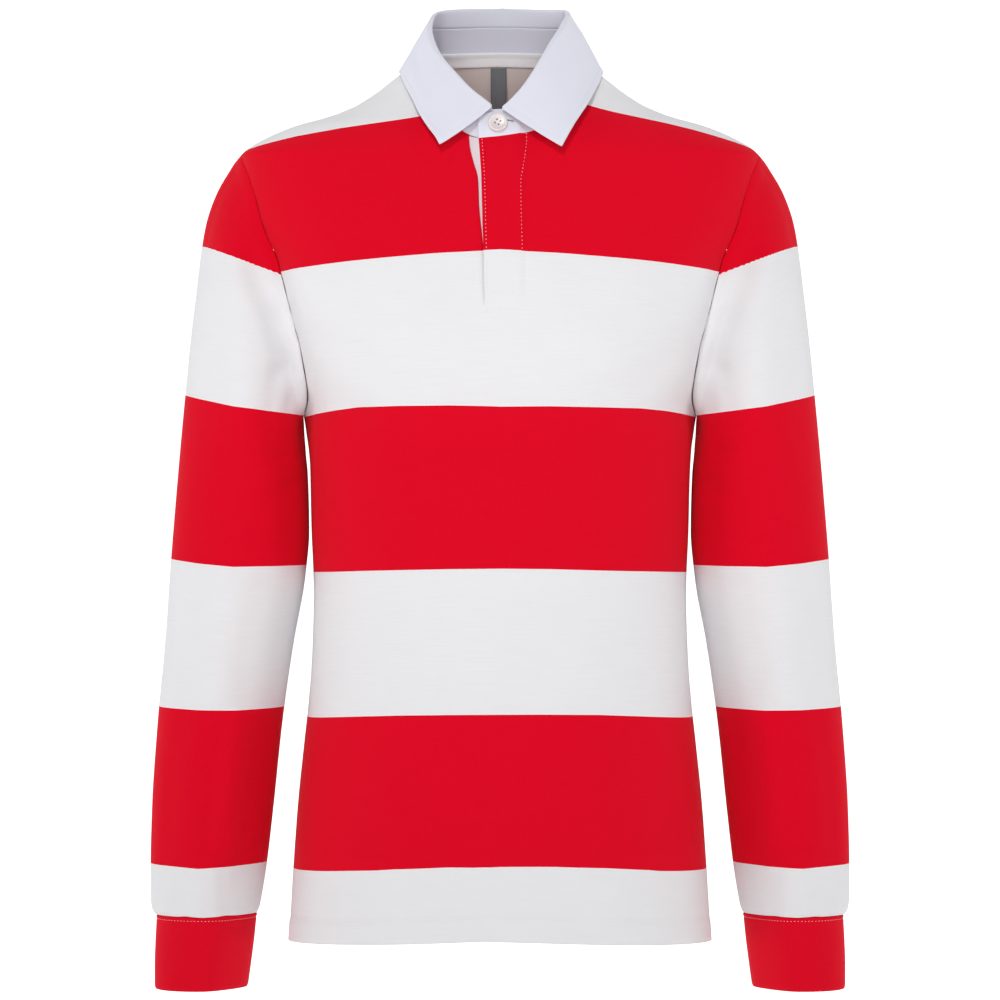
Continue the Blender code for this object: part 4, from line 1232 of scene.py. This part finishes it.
def strip_grid(left, right, bottom, under):
    """Upright strip lying inside the front, up to just under the neck seam."""
    rows, columns = 60, 14
    grid = np.zeros((rows + 1, columns + 1, 3))
    for i in range(rows + 1):
        z = np.full(columns + 1, bottom)
        for _ in range(4):
            x = left(z) + (right - left(z)) * np.linspace(0, 1, columns + 1)
            turn = np.degrees(np.arcsin(x / NECK_HALF_WIDTH))
            top = neck_height(turn + 360 if under else turn)
            top = top - (0.1 if under else 1.8)
            z = bottom + (top - bottom) * i / rows
        deep = 2.1 if under else 1.9
        lift = 0.0 if under else lap_lift(x, z)
        turn = turn_at(x, z)
        grid[i] = (body_point(turn, z, -1)
                   + ((lift - deep) * body_normal(turn, z, -1).T).T)
    return grid


def tape_grid(trees):
    turns = np.linspace(180 - TAPE_TURN, 180 + TAPE_TURN, 120)
    grid = []
    seam = seam_station(turns)
    away = outward(seam)
    for height in np.linspace(-8.5, 3.0, 11):
        row = []
        for point, out in zip(seam, away):
            axis = np.array((0.0, COLLAR_AXIS, point[2] + height))
            hit = first_hit(trees, axis, out)
            row.append(hit[0] - out * 0.6)
        grid.append(row)
    return np.array(grid)


# --------------------------------------------------------------------- stitches
def stitch_tree(material):
    """Nodes that lay a row of thread stitches along the paths of a mesh."""
    tree = bpy.data.node_groups.new("stitch_row", "GeometryNodeTree")
    face = tree.interface
    face.new_socket("Path", in_out="INPUT", socket_type="NodeSocketGeometry")
    for name in ("Pitch", "Stitch Length", "Thread Width"):
        socket = face.new_socket(name, in_out="INPUT",
                                 socket_type="NodeSocketFloat")
        socket.default_value = 0.001
    face.new_socket("Stitches", in_out="OUTPUT",
                    socket_type="NodeSocketGeometry")
    given = add_node(tree, "NodeGroupInput", (), None)
    curve = add_node(tree, "GeometryNodeMeshToCurve", {"Mesh": given["Path"]})
    spaced = add_node(tree, "GeometryNodeResampleCurve",
                      {"Curve": curve, "Length": given["Pitch"]},
                      mode="LENGTH")
    ball = add_node(tree, "GeometryNodeMeshUVSphere",
                    {"Segments": 6, "Rings": 4, "Radius": 0.5}, "Mesh")
    size = add_node(tree, "ShaderNodeCombineXYZ",
                    (given["Stitch Length"], given["Thread Width"],
                     given["Thread Width"]))
    grain = add_node(tree, "GeometryNodeTransform",
                     {"Geometry": ball, "Scale": size})
    away = add_node(tree, "GeometryNodeInputNamedAttribute", {"Name": "away"},
                    data_type="FLOAT_VECTOR")
    tangent = add_node(tree, "GeometryNodeInputTangent")
    turn = add_node(tree, "FunctionNodeAxesToRotation",
                    {"Primary Axis": tangent, "Secondary Axis": away},
                    primary_axis="X", secondary_axis="Z")
    row = add_node(tree, "GeometryNodeInstanceOnPoints",
                   {"Points": spaced, "Instance": grain, "Rotation": turn})
    real = add_node(tree, "GeometryNodeRealizeInstances", {"Geometry": row})
    soft = add_node(tree, "GeometryNodeSetShadeSmooth", {"Geometry": real})
    dressed = add_node(tree, "GeometryNodeSetMaterial",
                       {"Geometry": soft, "Material": material})
    add_node(tree, "NodeGroupOutput", {"Stitches": dressed}, None)
    return tree


def sew(name, paths, material, pitch, length, width):
    """One mesh of all the stitches along paths of (points, away) in mm."""
    points, away, edges = [], [], []
    for path, normals in paths:
        start = len(points)
        points += [tuple(p) for p in path]
        away += [tuple(n) for n in normals]
        edges += [(start + i, start + i + 1) for i in range(len(path) - 1)]
    mesh = bpy.data.meshes.new(name)
    mesh.from_pydata(np.array(points) * MM, edges, [])
    attribute = mesh.attributes.new("away", "FLOAT_VECTOR", "POINT")
    attribute.data.foreach_set("vector", np.array(away, float).ravel())
    thing = placed(name, mesh)
    modifier = thing.modifiers.new("stitches", "NODES")
    tree = stitch_tree(material)
    modifier.node_group = tree
    values = {"Pitch": pitch, "Stitch Length": length, "Thread Width": width}
    for item in tree.interface.items_tree:
        if item.in_out == "INPUT" and item.name in values:
            modifier[item.identifier] = values[item.name]
    graph = bpy.context.evaluated_depsgraph_get()
    result = bpy.data.meshes.new_from_object(thing.evaluated_get(graph))
    thing.modifiers.clear()
    thing.data = result
    result.name = name
    if not result.polygons:
        raise RuntimeError("no stitches were made for " + name)
    if not result.materials:
        result.materials.append(material)
    return thing


def laid(trees, starts, directions, proud=0.05):
    """Path on the first cloths met from starts along directions."""
    points, away = [], []
    for start, direction in zip(starts, directions):
        hit = first_hit(trees, start, direction)
        if hit is None:
            continue
        normal = hit[1] if np.dot(hit[1], direction) < 0 else -hit[1]
        points.append(hit[0] + proud * normal)
        away.append(normal)
    return points, away


# ------------------------------------------------------------------ properties
class PoloSizes(bpy.types.PropertyGroup):
    jersey_wall: FloatProperty(
        name="Jersey", description="Thickness of the body and sleeve jersey",
        default=0.0012, min=0.0004, max=0.003, unit="LENGTH")
    wale: FloatProperty(
        name="Wale", default=0.00125, min=0.0004, max=0.004, unit="LENGTH",
        description="Width of a knitted column, drawn coarser than the real "
                    "0.8 mm so that it shows")
    twill_line: FloatProperty(
        name="Twill line", default=0.0011, min=0.0004, max=0.004,
        description="Spacing of the collar's diagonal, drawn coarser than the "
                    "real 0.6 mm", unit="LENGTH")
    seam_dip: FloatProperty(
        name="Seam dip", description="How far cloth is drawn in at a seam",
        default=0.0003, min=0.0, max=0.003, unit="LENGTH")
    hem_depth: FloatProperty(
        name="Hem", description="Depth of the turned-up hem",
        default=0.0188, min=0.005, max=0.05, unit="LENGTH")
    leaf_inset: FloatProperty(
        name="Collar topstitch", default=0.0046, min=0.001, max=0.02,
        description="How far the topstitching lies inside the leaf's edges",
        unit="LENGTH")
    stitch: FloatProperty(
        name="Stitch", description="Length of one stitch that shows",
        default=0.0012, min=0.0005, max=0.005, unit="LENGTH")
    pitch: FloatProperty(
        name="Stitch pitch", description="From one stitch to the next",
        default=0.0033, min=0.0008, max=0.008, unit="LENGTH")
    thread: FloatProperty(
        name="Thread", description="Width of the sewing thread",
        default=0.00045, min=0.0001, max=0.002, unit="LENGTH")
    floor_drop: FloatProperty(
        name="Floor drop", description="Gap from the cuffs down to the floor",
        default=0.5, min=0.0, max=1.0, unit="LENGTH")


def colour_property(name, description, code):
    return FloatVectorProperty(name=name, description=description,
                               subtype="COLOR", size=3, min=0.0, max=1.0,
                               default=linear(code))


class PoloColours(bpy.types.PropertyGroup):
    red: colour_property("Red", "Red of the hoops and cuffs", "DD0222")
    white: colour_property("White", "White of the hoops", "EAE9EB")
    # A darker, warmer copy of the white for the inner faces of the white hoops: painted
    # shade inside the shirt.
    inside_white_painted_shade: colour_property("White inside", "White hoops seen from the inside",
                            "DDD1CB")
    collar: colour_property("Collar", "Cool white of the collar", "E1E2F1")
    placket: colour_property("Placket", "White of the placket's inner strips",
                             "F2EAF0")
    tape: colour_property("Tape", "Neck tape", "F2F2FC")
    ribbon: colour_property("Ribbon", "Ribbon of the bare label", "66686B")
    resin: colour_property("Button", "Resin of the button", "DCD1D0")
    thread: colour_property("Thread", "White sewing thread", "F0D9DE")
    hole_thread: colour_property("Buttonhole", "Thread of the buttonhole",
                                 "8B9488")
    paper: colour_property("Paper", "Floor and background", "EFEFEF")


def settings():
    scene = bpy.context.scene
    return scene.polo_sizes, scene.polo_colours


def shirt_jersey():
    return get_material("cotton_jersey", lambda: jersey_material(*settings()))


def collar_cloth():
    sizes, colours = settings()
    return get_material("collar_twill", lambda: twill_material(
        "collar_twill", colours.collar, sizes.twill_line))


# ------------------------------------------------------------------- operators
class PoloBody(bpy.types.Operator):
    """Front and back panels: worn form, creases, placket band and hem"""
    bl_idname = "polo.body"
    bl_label = "Front and back"

    def execute(self, context):
        sizes, _colours = settings()
        wall = sizes.jersey_wall * MILLE
        right = panel_rows(lap_edge, NECK[0][0], 90.0, LAP_NECK_ROW)
        left = panel_rows(lambda z: -left_edge(z), SLIT_TURN, 270.0,
                          SLIT_NECK_ROW)
        halves = (
            panel_half(right, LAP_SHARES, -1, True, False, FRONT_CREASES,
                       sizes),
            panel_half(left, PLAIN_SHARES, -1, False, True, FRONT_CREASES,
                       sizes))
        shared = LOWER_ROWS * LOWER_STEPS + SLIT_ROW * ARM_STEPS
        front = panel("polo_front", halves, shared, -1, wall, shirt_jersey())
        settle(front, "front")
        rows = panel_rows(lambda z: 0.0 * z, 180.0, 90.0, BACK_NECK_ROW)
        halves = [panel_half(rows, PLAIN_SHARES, 1, False, mirrored,
                             BACK_CREASES, sizes)
                  for mirrored in (False, True)]
        shared = LOWER_ROWS * LOWER_STEPS + BACK_NECK_ROW * ARM_STEPS
        back = panel("polo_back", halves, shared, 1, wall, shirt_jersey())
        settle(back, "back")
        return {"FINISHED"}


class PoloSleeves(bpy.types.Operator):
    """Both sleeves, with their folds and the fullness over the cuffs"""
    bl_idname = "polo.sleeves"
    bl_label = "Sleeves"

    def execute(self, context):
        sizes, _colours = settings()
        for side, sign in (("right", 1), ("left", -1)):
            rings, away = sleeve_grid(sizes, sign < 0)
            hoops = sleeve_hoops(rings)
            flip = (sign, 1, 1)
            place = cloth_uv(rings, True)
            place[..., 1] = -hoops * HOOP_PITCH * MM
            sleeve = cloth("polo_sleeve_" + side, rings * flip,
                           sizes.jersey_wall * MILLE, shirt_jersey(),
                           away * flip, True, {"hoop": hoops}, place)
            settle(sleeve, "sleeve_" + side)
        return {"FINISHED"}


class PoloCuffs(bpy.types.Operator):
    """Both ribbed cuffs, drawn in at the seam under the sleeve"""
    bl_idname = "polo.cuffs"
    bl_label = "Cuffs"

    def execute(self, context):
        sizes, colours = settings()
        rib = get_material("cotton_rib_knit",
                           lambda: rib_material(sizes, colours))
        for side, sign in (("right", 1), ("left", -1)):
            rings, away = cuff_grid()
            flip = (sign, 1, 1)
            cuff = cloth("polo_cuff_" + side, rings * flip, CUFF_WALL, rib,
                         away * flip, True)
            settle(cuff, "cuff_" + side)
        return {"FINISHED"}


class PoloCollar(bpy.types.Operator):
    """Collar stand and the leaf that folds down over it"""
    bl_idname = "polo.collar"
    bl_label = "Collar"

    def execute(self, context):
        sizes, _colours = settings()
        grid = stand_grid()
        stand = cloth("polo_collar_stand", grid, STAND_WALL, collar_cloth(),
                      outward(grid))
        settle(stand, "collar_stand")
        grid, normals, _fall = leaf_grid(sizes)
        leaf = cloth("polo_collar_leaf", grid, LEAF_WALL, collar_cloth(),
                     normals)
        settle(leaf, "collar_leaf")
        return {"FINISHED"}


class PoloPlacket(bpy.types.Operator):
    """The placket's two inner strips, one facing the lap and one under it"""
    bl_idname = "polo.placket"
    bl_label = "Placket strips"

    def execute(self, context):
        _sizes, colours = settings()
        strip = get_material("placket_twill", lambda: twill_material(
            "placket_twill", colours.placket, 0.0009))
        for name, left, right, bottom, under in (
                ("facing", lambda z: lap_edge(z) + 0.8, 18.0,
                 SLIT_BOTTOM + 8, False),
                ("under", lambda z: left_edge(z) - 6.0, 8.5,
                 SLIT_BOTTOM + 10, True)):
            grid = strip_grid(left, right, bottom, under)
            ahead = np.broadcast_to((0.0, -1.0, 0.0), grid.shape)
            piece = cloth("polo_placket_" + name, grid, STRIP_WALL, strip,
                          ahead)
            settle(piece, "placket_" + name)
        return {"FINISHED"}


class PoloNeckTape(bpy.types.Operator):
    """Tape over the back neck seam and the bare label that hangs from it"""
    bl_idname = "polo.neck_tape"
    bl_label = "Neck tape and label"

    def execute(self, context):
        _sizes, colours = settings()
        tape_cloth = get_material("tape_twill", lambda: twill_material(
            "tape_twill", colours.tape, 0.0009))
        trees = search_tree(*[bpy.data.objects["polo_" + name] for name in
                              ("back", "front", "collar_stand")])
        grid = tape_grid(trees)
        tape = cloth("polo_neck_tape", grid, TAPE_WALL, tape_cloth,
                     outward(grid))
        settle(tape, "neck_tape")
        ribbon = get_material("satin_ribbon", lambda: ribbon_material(colours))
        top = neck_height(180.0) - 8.5 - 0.75
        start = first_hit(search_tree(bpy.data.objects["polo_back"]),
                          (LABEL_ACROSS, 0, top), (0, 1, 0))[0][1]
        down = LABEL_DROP * np.linspace(0, 1, 47)[:, None]
        aside = np.linspace(1, -1, 17)[None, :]
        y = start - 2.7 + 0.2 * down - 0.5 * aside ** 2
        y = y - 0.7 * np.sin(down / LABEL_DROP * 2.4)
        grid = np.stack((LABEL_ACROSS + aside * LABEL_WIDTH / 2 + 0 * down,
                         y, top - down + 0 * aside), axis=-1)
        ahead = np.broadcast_to((0.0, -1.0, 0.0), grid.shape)
        label = cloth("polo_label", grid, LABEL_WALL, ribbon, ahead)
        settle(label, "label")
        return {"FINISHED"}


def spun(name, profile, steps):
    """Mesh turned round the upright axis from pairs of radius and height."""
    form = bmesh.new()
    ring = [form.verts.new((radius, 0, up)) for radius, up in profile]
    edges = [form.edges.new(pair) for pair in zip(ring, ring[1:])]
    bmesh.ops.spin(form, geom=ring + edges, cent=(0, 0, 0), axis=(0, 0, 1),
                   angle=2 * pi, steps=steps, use_merge=True)
    bmesh.ops.remove_doubles(form, verts=form.verts, dist=1e-4)
    bmesh.ops.recalc_face_normals(form, faces=form.faces)
    mesh = bpy.data.meshes.new(name)
    form.to_mesh(mesh)
    form.free()
    return mesh


class PoloButton(bpy.types.Operator):
    """Four-hole resin button on the lapping end of the stand"""
    bl_idname = "polo.button"
    bl_label = "Button"

    def execute(self, context):
        _sizes, colours = settings()
        resin = get_material("polyester_resin",
                             lambda: resin_material(colours))
        radius, thick = BUTTON_RADIUS, BUTTON_THICKNESS
        profile = ((0.0, 0.0), (0.8, 0.0), (0.93, 0.12), (1.0, 0.4),
                   (1.0, 0.62), (0.97, 0.85), (0.91, 0.97), (0.84, 1.0),
                   (0.78, 0.96), (0.73, 0.82), (0.67, 0.74), (0.0, 0.7))
        mesh = spun("polo_button",
                    [(r * radius, up * thick) for r, up in profile], 64)
        mesh.materials.append(resin)
        disc = placed("polo_button", mesh)
        form = bmesh.new()
        for n in range(4):
            angle = radians(16 + 90 * n)
            at = Matrix.Translation((2.35 * cos(angle), 2.35 * sin(angle),
                                     thick / 2))
            bmesh.ops.create_cone(form, cap_ends=True, segments=20,
                                  radius1=0.85, radius2=0.95,
                                  depth=3 * thick, matrix=at)
        holes = bpy.data.meshes.new("button_holes")
        form.to_mesh(holes)
        form.free()
        cutter = placed("button_holes", holes)
        drill = disc.modifiers.new("holes", "BOOLEAN")
        drill.object = cutter
        drill.solver = "EXACT"
        graph = bpy.context.evaluated_depsgraph_get()
        result = bpy.data.meshes.new_from_object(disc.evaluated_get(graph))
        disc.modifiers.clear()
        disc.data = result
        bpy.data.objects.remove(cutter)
        foot = stand_point(BUTTON_TURN, BUTTON_UP)
        right = stand_point(BUTTON_TURN + 3, BUTTON_UP) - foot
        up = stand_point(BUTTON_TURN, BUTTON_UP + 0.1) - foot
        face = unit(np.cross(right, up))
        place = Vector((foot + face * 0.95) * MM)
        turn = Vector(face).to_track_quat("Z", "Y").to_matrix().to_4x4()
        result.transform(Matrix.Translation(place) @ turn
                         @ Matrix.Scale(MM, 4))
        result.shade_smooth()
        result.set_sharp_from_angle(angle=radians(38))
        result.update()
        settle(disc, "button")
        return {"FINISHED"}


def path_of(points, normals, proud=0.05):
    points = np.asarray(points)
    return points + proud * np.asarray(normals), normals


def leaf_seam_paths(sizes):
    """Topstitching round the leaf: along its free edge and its two ends."""
    grid, normals, fall = leaf_grid(sizes)
    free, ends = edge_distance(grid, fall)
    inset = sizes.leaf_inset * MILLE
    points, away = [], []
    for i in range(len(grid)):
        place = [np.interp(-inset, -free[i, fall:], grid[i, fall:, c])
                 for c in range(3)]
        normal = [np.interp(-inset, -free[i, fall:], normals[i, fall:, c])
                  for c in range(3)]
        end = np.interp(-inset, -free[i, fall:], ends[i, fall:])
        if end >= inset:
            points.append(place)
            away.append(normal)
    paths = [path_of(points, away, 0.1)]
    half = len(grid) // 2
    for rows in (np.arange(half), np.arange(len(grid) - 1, half, -1)):
        points, away = [], []
        for j in range(fall + 1, grid.shape[1]):
            if free[rows[0], j] < inset:
                break
            points.append([np.interp(inset, ends[rows, j], grid[rows, j, c])
                           for c in range(3)])
            away.append([np.interp(inset, ends[rows, j], normals[rows, j, c])
                         for c in range(3)])
        paths.append(path_of(points, away, 0.1))
    return paths


class PoloStitches(bpy.types.Operator):
    """Rows of stitches: collar, neck, placket, hem and cuffs"""
    bl_idname = "polo.stitches"
    bl_label = "Stitches"

    def execute(self, context):
        sizes, colours = settings()
        thread = get_material("white_thread", lambda: thread_material(
            "white_thread", colours.thread))
        trees = {name: search_tree(bpy.data.objects["polo_" + name])
                 for name in ("front", "back", "collar_stand", "collar_leaf",
                              "neck_tape", "cuff_left", "cuff_right")}

        rows = []
        for x_of, low, high in (
                (lambda z: lap_edge(z) + 2.2, -216.5, -71.8),
                (placket_line, -201.0, -67.5)):
            z = np.arange(low, high, 1.5)
            starts = [(x_of(h), AHEAD, h) for h in z]
            rows.append(laid(trees["front"], starts, [(0, 1, 0)] * len(z)))
        for height in BOX_ROWS:
            x = np.arange(-10.5, 18.5, 1.0)
            rows.append(laid(trees["front"],
                             [(a, AHEAD, height) for a in x],
                             [(0, 1, 0)] * len(x)))
        for offset in (sizes.hem_depth * MILLE, sizes.hem_depth * MILLE + 2.6):
            turn = np.linspace(-89.3, 89.3, 400)
            base = HEM_HEIGHT + course_rise(HEM_HEIGHT)
            z = base + (HEM_HEIGHT - base) * np.abs(turn) / 90 + offset
            for face, name in ((-1, "front"), (1, "back")):
                at = body_point(turn, z, face)
                normal = body_normal(turn, z, face)
                rows.append(laid(trees[name], at + 20 * normal, -normal))
        shirt = sew("polo_stitches_body", rows, thread, sizes.pitch,
                    sizes.stitch, sizes.thread)
        settle(shirt, None)

        rows = []
        angle = np.linspace(0, 2 * pi, 260)
        for side, sign in (("right", 1), ("left", -1)):
            ring = flat_rings(np.array([CUFF[0]]), angle)
            ring = turned_back(ring, angle)[0] - (0, 0, 3.3)
            centre = ring.mean(axis=0)
            away = unit((ring - centre) * (1, 1, 0))
            rows.append(laid(trees["cuff_" + side],
                             (ring + 20 * away) * (sign, 1, 1),
                             -away * (sign, 1, 1)))
        cuffs = sew("polo_stitches_cuffs", rows, thread, sizes.pitch * 0.9,
                    sizes.stitch, sizes.thread)
        settle(cuffs, None)

        rows = leaf_seam_paths(sizes)
        turn = np.linspace(40, 320, 300)
        for share in (0.88, 0.965):
            spot = stand_point(turn, share)
            axis = np.stack((0 * turn, 0 * turn + COLLAR_AXIS, spot[:, 2]), 1)
            rows.append(laid(trees["collar_stand"], axis, outward(spot)))
        collar = sew("polo_stitches_collar", rows,
                     get_material("collar_thread", lambda: thread_material(
                         "collar_thread", colours.collar)),
                     sizes.pitch * 0.85, sizes.stitch, sizes.thread)
        settle(collar, None)

        rows = []
        turn = np.linspace(182 - TAPE_TURN, 178 + TAPE_TURN, 260)
        seam = seam_station(turn)
        for height in (-7.2, 1.8):
            axis = np.stack((0 * turn, 0 * turn + COLLAR_AXIS,
                             seam[:, 2] + height), 1)
            rows.append(laid(trees["neck_tape"], axis, outward(seam)))
        tape = sew("polo_stitches_tape", rows, thread, sizes.pitch * 0.9,
                   sizes.stitch, sizes.thread)
        settle(tape, None)

        x = np.linspace(5.8, 10.8, 26)
        z = np.interp(x, (6.0, 12.5), (-57.6, -58.9))
        row = laid(trees["collar_stand"],
                   [(a, -120.0, h) for a, h in zip(x, z)],
                   [(0, 1, 0)] * len(x))
        hole = sew("polo_buttonhole", [row],
                   get_material("buttonhole_thread", lambda: thread_material(
                       "buttonhole_thread", colours.hole_thread)),
                   0.00055, 0.0009, 0.0016)
        settle(hole, None)
        return {"FINISHED"}


# Metres: the lamps light the shirt, and the paper is a round bowl about it.
CAMERA_PLACE = (0.0, -3.5, -0.3696)
LAMP_TARGET = (0.0, 0.0, -0.36)
LAMP_COLUMNS = ("name", "place", "size", "power")
LAMPS = (
    ("left_softbox", (-3.0, -1.6, -0.7), 1.2, 26.0),
    ("right_softbox", (3.0, -1.6, -0.7), 1.4, 27.0),
    ("front_softbox", (0.0, -3.4, 0.0), 1.4, 31.0),
)
PAPER_BEND = 2000.0      # mm, radius of the bend from floor to wall
PAPER_RADIUS = 8000.0    # mm, of the wall
PAPER_RISE = 5000.0      # mm, of the wall above the bend


def aim(data, place, target):
    """Puts a lamp in the scene at a place, facing its target."""
    way = Vector(target) - Vector(place)
    placed(data.name, data).matrix_world = (
        Matrix.Translation(place)
        @ way.to_track_quat("-Z", "Y").to_matrix().to_4x4())


def light_sky(world):
    """Soft light all round, stronger from behind the shirt and from below."""
    world.use_nodes = True
    tree = world.node_tree
    sky = tree.nodes["Background"]
    sky.inputs[0].default_value = (1.0, 1.0, 1.0, 1.0)
    way = add_node(tree, SPLIT, (
        add_node(tree, "ShaderNodeTexCoord", (), "Generated"),), None)
    behind = add_node(tree, "ShaderNodeMapRange",
                      (way[1], -0.4, 0.4, 0.2, 0.92),
                      interpolation_type="SMOOTHSTEP")
    below = add_node(tree, "ShaderNodeMapRange",
                     (way[2], -0.05, -0.5, 0.0, 0.5),
                     interpolation_type="SMOOTHSTEP")
    tree.links.new(add_node(tree, MATH, (behind, below), operation="ADD"),
                   sky.inputs[1])


class PoloStage(bpy.types.Operator):
    """Seamless paper, soft studio lights and the camera"""
    bl_idname = "polo.stage"
    bl_label = "Stage"

    def execute(self, context):
        sizes, colours = settings()
        scene = bpy.context.scene
        paper = get_material("background_paper",
                             lambda: paper_material(colours))
        floor = CAD_BOX[0][2] * MILLE - sizes.floor_drop * MILLE
        side = [(0.0, floor)]
        side += [(PAPER_RADIUS - PAPER_BEND + PAPER_BEND * sin(a),
                  floor + PAPER_BEND * (1 - cos(a)))
                 for a in np.linspace(0, pi / 2, 25)]
        side += [(PAPER_RADIUS, floor + PAPER_BEND + PAPER_RISE)]
        mesh = spun("paper_sweep", side, 96)
        mesh.transform(Matrix.Scale(MM, 4))
        mesh.flip_normals()
        mesh.shade_smooth()
        mesh.materials.append(paper)
        sheet = placed("paper_sweep", mesh)
        # The paper is only seen: the light comes from the sky and the lamps.
        sheet.visible_diffuse = False

        scene.world = scene.world or bpy.data.worlds.new("studio")
        light_sky(scene.world)
        for name, place, size, power in LAMPS:
            lamp = bpy.data.lights.new(name, "AREA")
            lamp.shape = "SQUARE"
            lamp.size = size
            lamp.energy = power
            aim(lamp, place, LAMP_TARGET)
        spot = bpy.data.lights.new("collar_spot", "SPOT")
        spot.energy = 115.0
        spot.spot_size = radians(28)
        spot.spot_blend = 1.0
        spot.shadow_soft_size = 0.12
        aim(spot, (-0.4, -2.5, 1.75), (0.0, -0.05, -0.14))
        scene.view_settings.view_transform = "Standard"

        data = bpy.data.cameras.new("camera")
        data.lens = 150.0
        data.sensor_width = 36.0
        data.clip_end = 50.0
        camera = placed("camera", data)
        camera.location = CAMERA_PLACE
        camera.rotation_euler = (pi / 2, 0.0, 0.0)
        scene.camera = camera
        return {"FINISHED"}


OPERATORS = (PoloBody, PoloSleeves, PoloCuffs, PoloCollar, PoloPlacket,
             PoloNeckTape, PoloButton, PoloStitches, PoloStage)


class PoloPanel(bpy.types.Panel):
    bl_idname = "VIEW3D_PT_polo"
    bl_label = "Polo Shirt"
    bl_space_type = "VIEW_3D"
    bl_region_type = "UI"
    bl_category = "Polo Shirt"

    def draw(self, context):
        layout = self.layout
        for group in (context.scene.polo_sizes, context.scene.polo_colours):
            column = layout.column()
            for key in group.__annotations__:
                column.prop(group, key)
        for operator in OPERATORS:
            layout.operator(operator.bl_idname)


CLASSES = (PoloSizes, PoloColours, *OPERATORS, PoloPanel)


def register():
    for each in CLASSES:
        bpy.utils.register_class(each)
    bpy.types.Scene.polo_sizes = PointerProperty(type=PoloSizes)
    bpy.types.Scene.polo_colours = PointerProperty(type=PoloColours)


def unregister():
    del bpy.types.Scene.polo_colours
    del bpy.types.Scene.polo_sizes
    for each in reversed(CLASSES):
        bpy.utils.unregister_class(each)


def main():
    register()
    for operator in OPERATORS:
        group, name = operator.bl_idname.split(".")
        getattr(getattr(bpy.ops, group), name)()


if __name__ == "__main__":
    main()
